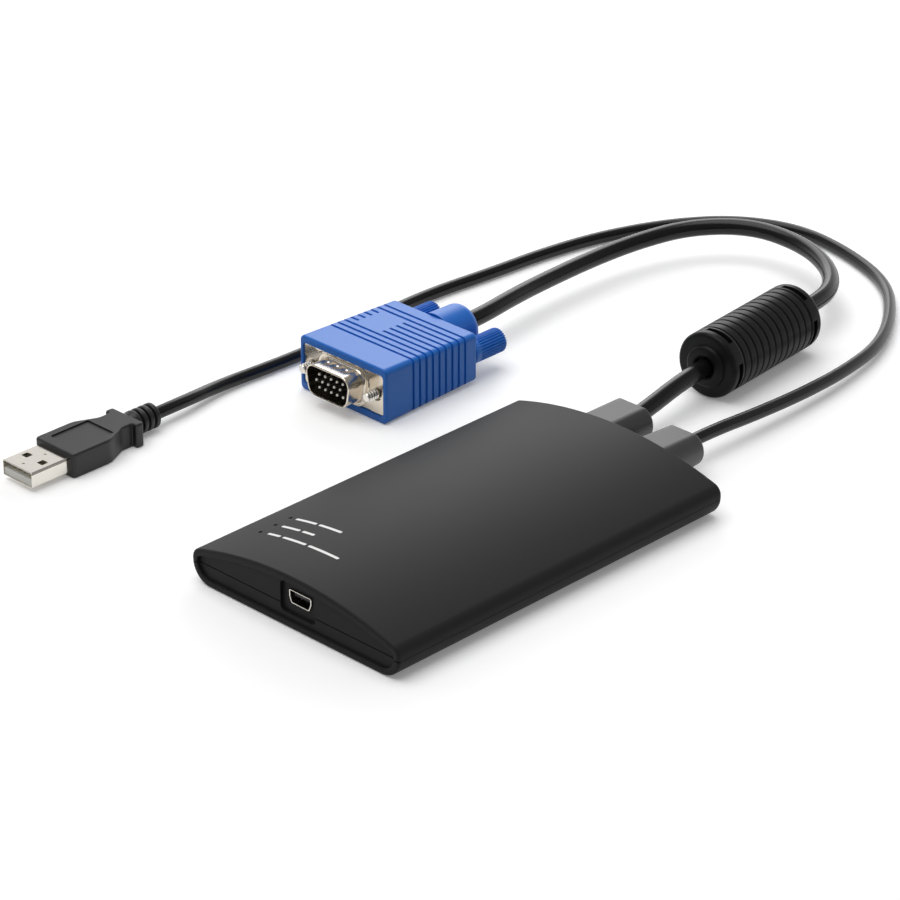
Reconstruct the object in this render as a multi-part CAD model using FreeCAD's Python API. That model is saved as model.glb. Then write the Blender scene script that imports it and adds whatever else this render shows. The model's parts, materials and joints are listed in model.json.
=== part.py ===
import FreeCAD, Part
import math
import os

# Crash cart adapter: a flat crowned box with a small port at one end and two captive leads at
# the other, one ending in a blue video plug with thumbscrews and one in a flat data plug.
# Millimetres, +Z up. The origin is the middle of the box's underside, and +Y runs from the
# port end to the lead end. Both plugs lie on the same surface as the box and point to -Y.

Vector = FreeCAD.Vector
Y_AXIS = Vector(0, 1, 0)
Z_AXIS = Vector(0, 0, 1)
ORIGIN = Vector(0, 0, 0)

# Box, outside
case_width = 73.2
case_length = 117.4
case_height = 14.6
lower_corner_r = 6.2
side_flat = 0.5
shoulder_r = 3.0
parting_z = 5.8
rim_width = 1.9
rim_depth = 0.9
rim_edge = 0.45
seam_height = 0.3
seam_depth = 0.5

# Box, inside
wall = 2.0
end_wall = 2.0
lip_height = 1.2
lip_thickness = 0.9
lip_end_gap = 8.0
fit_gap = 0.1

# Indicator pinholes in the top
light_side_inset = 9.5
light_end_inset = 19.9
light_pitch = 5.2
light_count = 3
pinhole_r = 0.45

# Circuit board and the screws that clamp it between the covers
standoff_height = 2.8
board_thickness = 1.6
board_side_gap = 1.3
board_end_gap = 0.5
notch_depth = 9.0
notch_side_gap = 3.0
screw_side_inset = 7.5
screw_end_inset = 8.2
screw_r = 1.0
screw_length = 6.2
screw_head_r = 1.9
screw_head_height = 1.6
screw_head_sink = 0.6
drive_width = 0.5
drive_length = 2.4
drive_depth = 0.7
lower_boss_r = 3.4
upper_boss_r = 2.6
head_gap = 0.25
shank_gap = 0.15

# Small port at the near end
port_x = 1.2
port_width = 7.8
port_height = 3.8
port_depth = 9.2
port_sheet = 0.35
port_slant_rise = 1.9
port_slant_in = 0.75
port_proud = 0.5
pocket_x = 0.8
pocket_half_width = 6.15
pocket_below = 2.9
pocket_above = 1.9
pocket_depth = 0.9
pocket_corner_r = 1.4
tongue_width = 5.2
tongue_thickness = 0.8
tongue_lift = 0.55
tongue_setback = 0.9
port_contact_count = 5
port_contact_pitch = 0.8
port_contact_width = 0.35
port_contact_thickness = 0.15
port_contact_length = 5.0

# Parts on the board: width across, length along, height
processor_size = (17.0, 17.0, 1.4)
sampler_size = (14.0, 14.0, 1.4)
memory_size = (12.0, 18.0, 1.2)
bridge_size = (8.0, 8.0, 0.9)
chip_mark_r = 0.6
chip_mark_depth = 0.15
crystal_size = (11.0, 4.6, 3.4)
capacitor_r = 2.0
capacitor_height = 4.6
capacitor_base = (4.3, 4.3, 0.9)
coil_size = (6.0, 6.0, 2.8)
regulator_size = (6.5, 3.5, 1.7)
light_size = (1.6, 3.0, 1.1)

# Their places: a middle line, and distances from the board's sides and ends
processor_x = 3.0
processor_y = -6.0
sampler_x = -12.0
sampler_far_inset = 32.8
memory_side_inset = 10.7
memory_y = -8.0
bridge_near_inset = 22.8
crystal_near_inset = 28.8
crystal_far_inset = 30.8
crystal_left_x = -14.0
crystal_right_x = 10.0
capacitor_near_inset = 11.8
capacitor_spread = 7.5
coil_near_inset = 12.8
coil_right_x = 18.0
coil_side_inset = 12.7
coil_y = 2.0
regulator_side_inset = 9.7
regulator_near_inset = 26.8
regulator_y = -10.0

# Board headers, their plugs and the wires to the leads
wire_r = 0.55
wire_pitch = 1.5
video_wire_count = 7
data_wire_count = 4
header_height = 4.6
header_depth = 6.0
header_wall = 0.8
header_end = 1.2
header_edge_gap = 1.0
plug_overhang = 2.6

# Strain-relief boots at the far end
boot_z = 7.0
boot_neck_half = (6.0, 3.4)
boot_flange_half = (7.2, 4.3)
boot_flange_thickness = 1.8
video_boot_x = -9.0
video_boot_length = 17.7
video_boot_side_r = (5.4, 5.2)
video_boot_half_height = (5.1, 4.6)
data_boot_x = 11.0
data_boot_length = 15.7
data_boot_side_r = (5.7, 4.8)
data_boot_half_height = (5.4, 4.4)
boot_side_offset = 2.2

# Video plug
video_plug_x = -79.4
hood_front_y = 35.4
hood_width = 33.5
hood_height = 16.5
hood_rear_width = 32.6
hood_rear_height = 14.4
hood_length = 35.6
hood_corner_r = 1.6
hood_edge = 0.5
groove_count = 9
groove_first = 10.6
groove_pitch = 2.54
groove_width = 0.8
groove_depth = 0.5
pad_groove_index = 3
pad_groove_count = 4
pad_from_left = 4.2
pad_width = 10.0
hood_boot_r = 6.2
hood_boot_length = 12.0
hood_boot_taper = 0.3
hood_boot_edge_r = 1.0
flange_width = 31.0
flange_height = 12.1
flange_corner_r = 1.0
flange_sheet = 0.8
flange_inset = 0.4
shell_width = 17.8
shell_height = 9.3
shell_slant = 10.0
shell_corner_r = 3.0
shell_sheet = 0.45
shell_reach = 6.3
shell_collar_width = 0.8
shell_collar_rise = 0.5
dimple_pitch = 3.6
dimple_count = 3
dimple_r = 1.5
dimple_sink = 0.25
dimple_setback = 3.9
insulator_length = 7.4
rear_shell_length = 5.0
pin_pitch = 2.29
row_pitch = 1.98
pin_row_count = 3
pin_column_count = 5
pin_r = 0.38
pin_tip_r = 0.2
pin_tip_length = 0.45
pin_reach = 5.6
pin_tail = 3.0
solder_space = 1.2

# Captive thumbscrews of the video plug
jack_spacing = 25.0
jack_thread_r = 1.42
jack_thread_gap = 0.2
jack_neck_r = 1.2
jack_reach = 3.5
jack_shank_r = 1.6
jack_collar_r = 2.0
jack_collar_length = 1.0
jack_chamfer = 0.4
jack_hole_r = 1.8
jack_keeper_r = 1.6
running_gap = 0.05
collar_gap = 0.2
knob_r = 3.6
knob_length = 12.5
knob_gap = 0.3
knob_edge_r = 0.9
knob_grip_depth = 8.0
knob_collar = 1.8
flute_count = 24
flute_depth = 0.4

# Data plug
data_plug_x = -106.85
data_tip_y = -56.7
tab_width = 12.0
tab_height = 4.5
tab_sheet = 0.3
tab_reach = 12.6
tab_tail = 5.5
tab_corner_r = 0.5
window_size = 2.2
window_spread = 6.3
window_setback = 6.1
grip_width = 15.6
grip_height = 7.1
grip_block = 13.1
grip_taper = 6.6
grip_neck = 3.65
grip_neck_width = 9.4
grip_ear = 2.8
grip_ear_width = 12.8
grip_edge = 0.45
badge_width = 10.5
badge_length = 13.2
badge_setback = 3.3
badge_depth = 0.35
relief_length = 8.6
relief_core_r = 2.7
relief_ring_r = 3.6
relief_lift = 0.4
relief_ring_count = 4
relief_ring_width = 1.4
data_tongue_thickness = 1.9
data_tongue_setback = 0.4
data_contact_count = 4
data_contact_pitch = 2.25
data_contact_width = 1.1
data_contact_thickness = 0.15
data_contact_length = 8.5
data_contact_setback = 1.3

# Ferrite sleeve on the video lead
sleeve_r = 9.6
sleeve_length = 44.6
sleeve_end_r = 1.2
sleeve_collar_r = 6.0
sleeve_collar_length = 1.2
sleeve_mouth_r = 3.9
sleeve_mouth_depth = 2.0
sleeve_band = 5.1
sleeve_groove_count = 12
sleeve_groove_width = 0.8
sleeve_groove_depth = 0.6
slot_setback = 2.4
slot_width = 1.6
slot_depth = 1.8
slot_angle = 50.0
slot_count = 4
slot_turn = 77.0
core_r = 7.1
core_bore_r = 3.2
core_length = 31.0
sleeve_from_corner = 8.0

# Leads. The first and last runs follow the boots and plugs straight.
video_cable_r = 2.5
data_cable_r = 1.8

# Straight stretch of each lead beside the box and its plug
video_lead_straight = 7.0
data_lead_straight = 11.0

# Values that follow from those above
half_length = case_length / 2
half_width = case_width / 2
shoulder_z = lower_corner_r + side_flat
crown_rise = case_height - shoulder_r - shoulder_z
crown_chord = half_width - shoulder_r
crown_r = (crown_chord**2 + crown_rise**2) / (2 * crown_rise) + shoulder_r
light_x = -half_width + light_side_inset
light_y = -half_length + light_end_inset
screw_x = half_width - screw_side_inset
screw_y = half_length - screw_end_inset
end_face = half_length - rim_depth
cavity_end = end_face - end_wall
board_bottom = wall + standoff_height
board_top = board_bottom + board_thickness
board_half_width = half_width - wall - board_side_gap
board_end = cavity_end - board_end_gap
processor_place = (processor_x, processor_y)
sampler_place = (sampler_x, board_end - sampler_far_inset)
memory_place = (board_half_width - memory_side_inset, memory_y)
bridge_place = (port_x, -board_end + bridge_near_inset)
crystal_places = (
    (crystal_left_x, -board_end + crystal_near_inset),
    (crystal_right_x, board_end - crystal_far_inset),
)
capacitor_y = -board_end + capacitor_near_inset
capacitor_places = (
    (port_x - port_width / 2 - capacitor_spread, capacitor_y),
    (port_x + port_width / 2 + capacitor_spread, capacitor_y),
)
coil_places = (
    (coil_right_x, -board_end + coil_near_inset),
    (-board_half_width + coil_side_inset, coil_y),
)
regulator_places = (
    (board_half_width - regulator_side_inset, -board_end + regulator_near_inset),
    (-board_half_width + regulator_side_inset, regulator_y),
)
port_mouth_y = -end_face + pocket_depth - port_proud
port_z = board_top
boot_flange_y = cavity_end - fit_gap - boot_flange_thickness
video_boot_end = end_face + video_boot_length
data_boot_end = end_face + data_boot_length
notch_y = board_end - notch_depth
hood_rear_y = hood_front_y + hood_length
hood_mid_z = hood_height / 2
hood_boot_end = hood_rear_y + hood_boot_length
flange_y = hood_front_y + flange_inset
rear_plate_y = flange_y + flange_sheet
insulator_rear_y = flange_y + insulator_length
data_z = grip_height / 2
grip_front_y = data_tip_y + tab_reach
grip_rear_y = grip_front_y + grip_block + grip_taper + grip_neck + grip_ear
relief_z = data_z + relief_lift
relief_end_y = grip_rear_y + relief_length

# Points of the two leads, chosen by hand, from the box to the plug
video_route = (
    (video_boot_x, video_boot_end, boot_z),
    (video_boot_x, video_boot_end + video_lead_straight, boot_z),
    (-11.63, 99.5, 9.7),
    (-17.2, 159.5, 9.7),
    (-20.1, 171.7, 9.6),
    (-29.6, 182.3, 9.8),
    (-45.0, 189.2, 10.1),
    (-63.5, 188.2, 10.6),
    (-76.5, 175.2, 10.5),
    (-82.0, 157.5, 9.7),
    (-83.5, 138.5, 9.3),
    (-82.8, 116.0, 9.2),
    (-80.9, 102.0, 9.4),
    (video_plug_x, hood_boot_end + video_lead_straight, hood_mid_z),
    (video_plug_x, hood_boot_end, hood_mid_z),
)
sleeve_run_index = 2
data_route = (
    (data_boot_x, data_boot_end, boot_z),
    (data_boot_x, data_boot_end + data_lead_straight, boot_z),
    (11.2, 101.0, 5.8),
    (10.9, 122.0, 4.7),
    (9.0, 143.0, 3.8),
    (4.2, 164.0, 2.9),
    (-7.2, 183.3, 2.3),
    (-22.0, 199.5, 1.85),
    (-43.0, 208.2, 1.85),
    (-64.5, 211.5, 1.85),
    (-83.0, 203.0, 1.85),
    (-95.2, 187.0, 1.85),
    (-103.5, 166.5, 1.85),
    (-107.4, 145.3, 1.85),
    (-108.9, 123.5, 1.85),
    (-111.4, 101.6, 1.85),
    (-110.8, 81.0, 1.85),
    (-108.6, 60.2, 1.85),
    (-108.9, 38.8, 1.85),
    (-110.1, 18.1, 2.1),
    (data_plug_x, relief_end_y + data_lead_straight, relief_z),
    (data_plug_x, relief_end_y, relief_z),
)


# Basic shapes
def at(x, z):
    """A point of a section drawn in the plane y = 0."""
    return Vector(x, 0, z)


def line(a, b):
    return Part.LineSegment(a, b).toShape()


def arc(a, through, b):
    return Part.Arc(a, through, b).toShape()


def corner_arc(centre, radius, start, end):
    """Arc in the plane y = 0, its angles in degrees from +X towards +Z."""
    spots = []
    for angle in (start, (start + end) / 2, end):
        turn = math.radians(angle)
        spots.append(centre + Vector(radius * math.cos(turn), 0, radius * math.sin(turn)))
    return arc(*spots)


def prism(edges, y0, y1):
    """Solid of a section in the plane y = 0, carried from y0 to y1."""
    face = Part.Face(Part.Wire(edges))
    face.translate(Vector(0, y0, 0))
    return face.extrude(Vector(0, y1 - y0, 0))


def block(x0, x1, y0, y1, z0, z1):
    return Part.makeBox(x1 - x0, y1 - y0, z1 - z0, Vector(x0, y0, z0))


def centred_block(size, x, y, z):
    """Block of the given width, length and height, standing at z over the middle x, y."""
    width, length, height = size
    return block(x - width / 2, x + width / 2, y - length / 2, y + length / 2, z, z + height)


def rod(x, z, radius, y0, y1):
    return Part.makeCylinder(radius, y1 - y0, Vector(x, y0, z), Y_AXIS)


def post(x, y, radius, z0, z1):
    return Part.makeCylinder(radius, z1 - z0, Vector(x, y, z0), Z_AXIS)


def polygon(points):
    """Closed section through points (x, z) in the plane y = 0."""
    corners = [at(x, z) for x, z in points]
    return [line(a, b) for a, b in zip(corners, corners[1:] + corners[:1])]


def rounded_rectangle(x, z, width, height, radius):
    """Section of a rectangle about x, z with its corners rounded."""
    right, top = width / 2 - radius, height / 2 - radius
    low_right, high_right = at(x + right, z - top), at(x + right, z + top)
    high_left, low_left = at(x - right, z + top), at(x - right, z - top)
    across, up = Vector(radius, 0, 0), Vector(0, 0, radius)
    return [
        line(low_left - up, low_right - up),
        corner_arc(low_right, radius, -90, 0),
        line(low_right + across, high_right + across),
        corner_arc(high_right, radius, 0, 90),
        line(high_right + up, high_left + up),
        corner_arc(high_left, radius, 90, 180),
        line(high_left - across, low_left - across),
        corner_arc(low_left, radius, 180, 270),
    ]


def turned(profile):
    """Solid of a closed profile of (radius, y), turned about the Y axis."""
    corners = [Vector(radius, y, 0) for radius, y in profile]
    face = Part.Face(Part.makePolygon(corners + corners[:1]))
    return face.revolve(ORIGIN, Y_AXIS, 360)


def edges_on(shape, axis, level):
    """Edges that lie whole in the plane where the given coordinate has that level."""
    found = []
    for edge in shape.Edges:
        spans = edge.BoundBox
        low, high = {"y": (spans.YMin, spans.YMax), "z": (spans.ZMin, spans.ZMax)}[axis]
        if abs(low - level) < 1e-4 and abs(high - level) < 1e-4:
            found.append(edge)
    return found


def edges_along_y(shape):
    """Straight edges that run along Y."""
    found = []
    for edge in shape.Edges:
        if edge.BoundBox.XLength < 1e-4 and edge.BoundBox.ZLength < 1e-4:
            found.append(edge)
    return found


def spread(count, pitch, middle=0.0):
    """Evenly spaced places about a middle."""
    return [middle + (k - (count - 1) / 2) * pitch for k in range(count)]


def fused(shapes):
    first, *others = shapes
    return first.fuse(others).removeSplitter() if others else first


def save(name, shape):
    """Write one piece, or one group of equal pieces, to its own file."""
    if not shape.isValid():
        raise ValueError(name + " is not a valid solid")
    shape.exportStep(os.path.join("parts", name + ".step"))


# The box: two covers that meet at the parting line
def case_outline(inset):
    """Section of the box drawn inwards by inset: flat base, round lower corners, crowned top."""
    lower_x, upper_x = half_width - lower_corner_r, crown_chord
    lower, upper = lower_corner_r - inset, shoulder_r - inset
    lean = math.degrees(math.asin(upper_x / (crown_r - shoulder_r)))
    tilt = math.radians(90 - lean)
    shoulder = Vector(upper * math.cos(tilt), 0, upper * math.sin(tilt))
    shoulder_end = at(upper_x, shoulder_z) + shoulder
    mirrored_end = at(-shoulder_end.x, shoulder_end.z)
    side = half_width - inset
    return [
        line(at(-lower_x, inset), at(lower_x, inset)),
        corner_arc(at(lower_x, lower_corner_r), lower, -90, 0),
        line(at(side, lower_corner_r), at(side, shoulder_z)),
        corner_arc(at(upper_x, shoulder_z), upper, 0, 90 - lean),
        arc(shoulder_end, at(0, case_height - inset), mirrored_end),
        corner_arc(at(-upper_x, shoulder_z), upper, 90 + lean, 180),
        line(at(-side, shoulder_z), at(-side, lower_corner_r)),
        corner_arc(at(-lower_x, lower_corner_r), lower, 180, 270),
    ]


def case_slab(z0, z1):
    """Everything of the box between two heights, with room all round."""
    return block(-case_width, case_width, -case_length, case_length, z0, z1)


def screw_places():
    return [(x, y) for x in (-screw_x, screw_x) for y in (-screw_y, screw_y)]


def case_body():
    """Hollow box with a raised rim round each end and its edges broken."""
    body = prism(case_outline(0), -half_length, half_length)
    ends = edges_on(body, "y", -half_length) + edges_on(body, "y", half_length)
    body = body.makeChamfer(rim_edge, ends)
    near_recess = prism(case_outline(rim_width), -half_length, -end_face)
    far_recess = prism(case_outline(rim_width), end_face, half_length)
    cavity = prism(case_outline(wall), -cavity_end, cavity_end)
    return body.cut([near_recess, far_recess, cavity])


def port_outline(grow):
    """Section of the small port: straight upper sides, lower sides slanting in, drawn out by grow."""
    half, low, high = port_width / 2 + grow, port_z - grow, port_z + port_height + grow
    bend = port_z + port_slant_rise
    foot = half - port_slant_in
    return [
        (port_x - foot, low),
        (port_x + foot, low),
        (port_x + half, bend),
        (port_x + half, high),
        (port_x - half, high),
        (port_x - half, bend),
    ]


def end_openings():
    """Port pocket and hole at the near end, and the two boot holes at the far end."""
    low, high = port_z - pocket_below, port_z + port_height + pocket_above
    pocket_section = rounded_rectangle(
        pocket_x, (low + high) / 2, 2 * pocket_half_width, high - low, pocket_corner_r
    )
    pocket = prism(pocket_section, -end_face, -end_face + pocket_depth)
    port_hole = prism(polygon(port_outline(fit_gap)), -end_face, -cavity_end)
    boot_holes = [
        prism(boot_neck_section(x, fit_gap), cavity_end, end_face)
        for x in (video_boot_x, data_boot_x)
    ]
    return [pocket, port_hole] + boot_holes


def lip(inset, top):
    """Strip along both long walls, from the parting line up, that keys the covers together."""
    reach = cavity_end - lip_end_gap
    outer = prism(case_outline(inset), -reach, reach)
    inner = prism(case_outline(wall), -reach, reach)
    return outer.cut(inner).common(case_slab(parting_z, top))


def seam():
    """Shadow groove under the parting line, round the sides, the rims and the recessed ends."""
    reach = half_length - seam_depth
    inner = end_face - seam_depth
    kept = prism(case_outline(seam_depth), -reach, reach)
    near = prism(case_outline(rim_width), -half_length, -inner)
    far = prism(case_outline(rim_width), inner, half_length)
    return case_slab(parting_z - seam_height, parting_z).cut(kept.cut([near, far]))


def top_cover(body):
    cover = body.common(case_slab(parting_z, 2 * case_height))
    roof = prism(case_outline(wall / 2), -cavity_end, cavity_end)
    bosses = [post(x, y, upper_boss_r, board_top, case_height) for x, y in screw_places()]
    cover = fused([cover] + [boss.common(roof) for boss in bosses])
    pilot_top = screw_tip_z() + shank_gap
    pilots = [post(x, y, screw_r + fit_gap / 2, board_top, pilot_top) for x, y in screw_places()]
    pinholes = [
        post(light_x, y, pinhole_r, board_top, case_height)
        for y in spread(light_count, light_pitch, light_y)
    ]
    rebate = lip(wall - lip_thickness - fit_gap, parting_z + lip_height + fit_gap)
    return cover.cut(pilots + pinholes + end_openings() + [rebate])


def bottom_cover(body):
    cover = body.common(case_slab(-1.0, parting_z))
    bosses = [post(x, y, lower_boss_r, wall / 2, board_bottom) for x, y in screw_places()]
    cover = fused([cover, lip(wall - lip_thickness, parting_z + lip_height)] + bosses)
    seat = screw_head_sink + screw_head_height
    sinks = [post(x, y, screw_head_r + head_gap, 0, seat) for x, y in screw_places()]
    holes = [post(x, y, screw_r + shank_gap, seat, board_bottom) for x, y in screw_places()]
    return cover.cut(sinks + holes + end_openings() + [seam()])


def screw_tip_z():
    return screw_head_sink + screw_head_height + screw_length


def case_screws():
    """Four equal screws, driven from below through the board into the top cover."""
    seat = screw_head_sink + screw_head_height
    screws = []
    for x, y in screw_places():
        head = post(x, y, screw_head_r, screw_head_sink, seat)
        shank = post(x, y, screw_r, seat, screw_tip_z())
        slot = (drive_length, drive_width, drive_depth)
        cross = (drive_width, drive_length, drive_depth)
        drive = [centred_block(size, x, y, screw_head_sink) for size in (slot, cross)]
        screws.append(fused([head, shank]).cut(drive))
    return Part.makeCompound(screws)


# The board and what stands on it
def circuit_board():
    """Board with a notch at the far end for the boots' inner flanges."""
    board = block(
        -board_half_width, board_half_width, -board_end, board_end, board_bottom, board_top
    )
    left = video_boot_x - boot_flange_half[0] - notch_side_gap
    right = data_boot_x + boot_flange_half[0] + notch_side_gap
    notch = block(left, right, notch_y, board_end, board_bottom, board_top)
    holes = [
        post(x, y, screw_r + shank_gap, board_bottom, board_top) for x, y in screw_places()
    ]
    return board.cut([notch] + holes)


def chip(size, place):
    """Flat leadless package with a round mark sunk at its first corner."""
    x, y = place
    width, length, height = size
    body = centred_block(size, x, y, board_top)
    mark_x = x - width / 2 + 3 * chip_mark_r
    mark_y = y - length / 2 + 3 * chip_mark_r
    top = board_top + height
    return body.cut(post(mark_x, mark_y, chip_mark_r, top - chip_mark_depth, top))


def blocks_on_board(size, places):
    return Part.makeCompound([centred_block(size, x, y, board_top) for x, y in places])


def crystal(x, y):
    """Low metal can with round ends."""
    width, length, height = crystal_size
    can = centred_block((width - length, length, height), x, y, board_top)
    ends = [
        post(x + side * (width - length) / 2, y, length / 2, board_top, board_top + height)
        for side in (-1, 1)
    ]
    return fused([can] + ends)


def capacitor(x, y):
    """Upright can on a square base."""
    base = centred_block(capacitor_base, x, y, board_top)
    foot = board_top + capacitor_base[2]
    return fused([base, post(x, y, capacitor_r, foot, board_top + capacitor_height)])


def status_lights():
    """Chip lamps on the board, one under each pinhole."""
    places = [(light_x, y) for y in spread(light_count, light_pitch, light_y)]
    return blocks_on_board(light_size, places)


def header_width(wires):
    return wires * wire_pitch + 2 * header_end


def header_span():
    """Front and rear of a board header, set back from the notch."""
    rear = notch_y - header_edge_gap
    return rear - header_depth, rear


def board_header(x, wires):
    """Side-entry header on the board, open towards the lead."""
    half = header_width(wires) / 2
    front, rear = header_span()
    body = block(x - half, x + half, front, rear, board_top, board_top + header_height)
    inner = half - header_wall
    low, high = board_top + header_wall, board_top + header_height - header_wall
    return body.cut(block(x - inner, x + inner, front + header_wall, rear, low, high))


def header_plug(x, wires):
    """Plug that fills the header and stands out of it towards the lead."""
    half = header_width(wires) / 2 - header_wall - fit_gap
    front, rear = header_span()
    low = board_top + header_wall + fit_gap
    high = board_top + header_height - header_wall - fit_gap
    return block(x - half, x + half, front + header_wall, rear + plug_overhang, low, high)


def lead_wires(x, wires):
    """Single wires between the header plug and the boot's inner flange."""
    start = header_span()[1] + plug_overhang
    z = board_top + header_height / 2
    return Part.makeCompound(
        [rod(place, z, wire_r, start, boot_flange_y) for place in spread(wires, wire_pitch, x)]
    )


# The small port
def port_shell():
    """Folded metal sleeve round the port, closed at the back."""
    sleeve = prism(polygon(port_outline(0)), port_mouth_y, port_mouth_y + port_depth)
    inside_end = port_mouth_y + port_depth - port_sheet
    return sleeve.cut(prism(polygon(port_outline(-port_sheet)), port_mouth_y, inside_end))


def tongue_mid_z():
    return port_z + port_height / 2 + tongue_lift


def port_insulator():
    """Rear block that fills the sleeve, with the tongue standing forward."""
    rear = port_mouth_y + port_depth - port_sheet
    front = rear - port_depth / 3
    back = prism(polygon(port_outline(-port_sheet)), front, rear)
    low = tongue_mid_z() - tongue_thickness / 2
    half = tongue_width / 2
    tongue = block(
        port_x - half, port_x + half, port_mouth_y + tongue_setback, front, low,
        low + tongue_thickness,
    )
    return fused([back, tongue])


def port_contacts():
    """Flat contacts under the tongue."""
    top = tongue_mid_z() - tongue_thickness / 2
    front = port_mouth_y + 2 * tongue_setback
    rear = port_mouth_y + port_depth - port_sheet - port_depth / 3
    length = min(port_contact_length, rear - front)
    size = (port_contact_width, length, port_contact_thickness)
    return Part.makeCompound(
        [
            centred_block(size, x, front + length / 2, top - port_contact_thickness)
            for x in spread(port_contact_count, port_contact_pitch, port_x)
        ]
    )


# Boots that hold the leads in the far end wall
def boot_outer(x, length, side_r, half_height):
    """Tapered form with round sides, between a top and a base that slope towards the lead."""
    widest = max(side_r)
    sides = [
        Part.makeCone(*side_r, length, Vector(x + side * boot_side_offset, end_face, boot_z), Y_AXIS)
        for side in (-1, 1)
    ]
    middle = block(
        x - boot_side_offset, x + boot_side_offset, end_face, end_face + length,
        boot_z - widest, boot_z + widest,
    )
    reach = boot_side_offset + widest
    near, rear = half_height
    corners = [
        Vector(x - reach, end_face, boot_z - near),
        Vector(x - reach, end_face + length, boot_z - rear),
        Vector(x - reach, end_face + length, boot_z + rear),
        Vector(x - reach, end_face, boot_z + near),
    ]
    slab = Part.Face(Part.makePolygon(corners + corners[:1])).extrude(Vector(2 * reach, 0, 0))
    return fused([middle] + sides).common(slab)


def boot_neck_section(x, grow):
    half_width, half_height = (half + grow for half in boot_neck_half)
    return rounded_rectangle(x, boot_z, 2 * half_width, 2 * half_height, boot_neck_half[1] / 2)


def boot(x, length, side_r, half_height):
    """Tapered outer part, a neck through the wall and a flange behind it, moulded as one."""
    outer = boot_outer(x, length, side_r, half_height)
    neck = prism(boot_neck_section(x, 0), boot_flange_y, end_face)
    flange_w, flange_h = boot_flange_half
    flange_section = rounded_rectangle(x, boot_z, 2 * flange_w, 2 * flange_h, flange_h / 2)
    flange = prism(flange_section, boot_flange_y, boot_flange_y + boot_flange_thickness)
    return fused([outer, neck, flange])


# The video plug
def shell_outline(grow):
    """Trapezoid of the plug's shell, wide side up, drawn out by grow."""
    slope = math.tan(math.radians(shell_slant))
    half_height = shell_height / 2 + grow
    top = shell_width / 2 + grow * (1 + slope)
    foot = top - 2 * half_height * slope
    x, z = video_plug_x, hood_mid_z
    return [
        (x - foot, z - half_height),
        (x + foot, z - half_height),
        (x + top, z + half_height),
        (x - top, z + half_height),
    ]


def shell_solid(grow, y0, y1):
    """Solid of the shell's outline with round corners."""
    solid = prism(polygon(shell_outline(grow)), y0, y1)
    return solid.makeFillet(shell_corner_r + grow, edges_along_y(solid))


def jack_places():
    return [video_plug_x - jack_spacing / 2, video_plug_x + jack_spacing / 2]


def flange_plate(y, hole_r):
    """Metal plate of the video plug with its two screw holes."""
    section = rounded_rectangle(
        video_plug_x, hood_mid_z, flange_width, flange_height, flange_corner_r
    )
    plate = prism(section, y, y + flange_sheet)
    return plate.cut([rod(x, hood_mid_z, hole_r, y, y + flange_sheet) for x in jack_places()])


def video_front_shell():
    """Front plate with the drawn shell and the grounding dimples along its top."""
    rim = flange_y - shell_reach
    rear = flange_y + flange_sheet
    collar = shell_solid(shell_collar_width, flange_y - shell_collar_rise, rear)
    shell = fused([flange_plate(flange_y, jack_hole_r), shell_solid(0, rim, rear), collar])
    top = hood_mid_z + shell_height / 2
    dimples = []
    for x in spread(dimple_count, dimple_pitch, video_plug_x):
        ball = Part.makeSphere(dimple_r)
        ball.translate(Vector(x, rim + dimple_setback, top + dimple_r - dimple_sink))
        dimples.append(ball)
    return shell.cut([shell_solid(-shell_sheet, rim, rear)] + dimples)


def video_rear_shell():
    """Rear plate that keeps the screws' collars in, with a sleeve round the insulator."""
    rear = rear_plate_y + rear_shell_length
    sleeve = shell_solid(0, rear_plate_y, rear)
    shell = fused([flange_plate(rear_plate_y, jack_keeper_r), sleeve])
    return shell.cut(shell_solid(-shell_sheet, rear_plate_y, rear))


def pin_places():
    """Three rows of five, the middle row half a pitch over."""
    places = []
    for row, z in enumerate(spread(pin_row_count, row_pitch, hood_mid_z)):
        shift = pin_pitch / 4 if row != 1 else -pin_pitch / 4
        for x in spread(pin_column_count, pin_pitch, video_plug_x + shift):
            places.append((x, z))
    return places


def video_insulator():
    """Black block in the shells that carries the pins."""
    body = shell_solid(-shell_sheet - fit_gap / 2, flange_y, insulator_rear_y)
    return body.cut([rod(x, z, pin_r, flange_y, insulator_rear_y) for x, z in pin_places()])


def video_pins():
    """Round contacts with a tapered tip, solder ends behind the insulator."""
    tip = flange_y - pin_reach
    tail = insulator_rear_y + pin_tail
    profile = ((0, tip), (pin_tip_r, tip), (pin_r, tip + pin_tip_length), (pin_r, tail), (0, tail))
    pins = []
    for x, z in pin_places():
        pin = turned(profile)
        pin.translate(Vector(x, 0, z))
        pins.append(pin)
    return Part.makeCompound(pins)


def hood_section(grow, y):
    """Outline of the hood at y, drawn out by grow. The hood narrows evenly towards its rear."""
    share = (y - hood_front_y) / hood_length
    width = hood_width + share * (hood_rear_width - hood_width)
    height = hood_height + share * (hood_rear_height - hood_height)
    section = Part.Wire(
        rounded_rectangle(
            video_plug_x, hood_mid_z, width + 2 * grow, height + 2 * grow, hood_corner_r + grow
        )
    )
    section.translate(Vector(0, y, 0))
    return section


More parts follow.
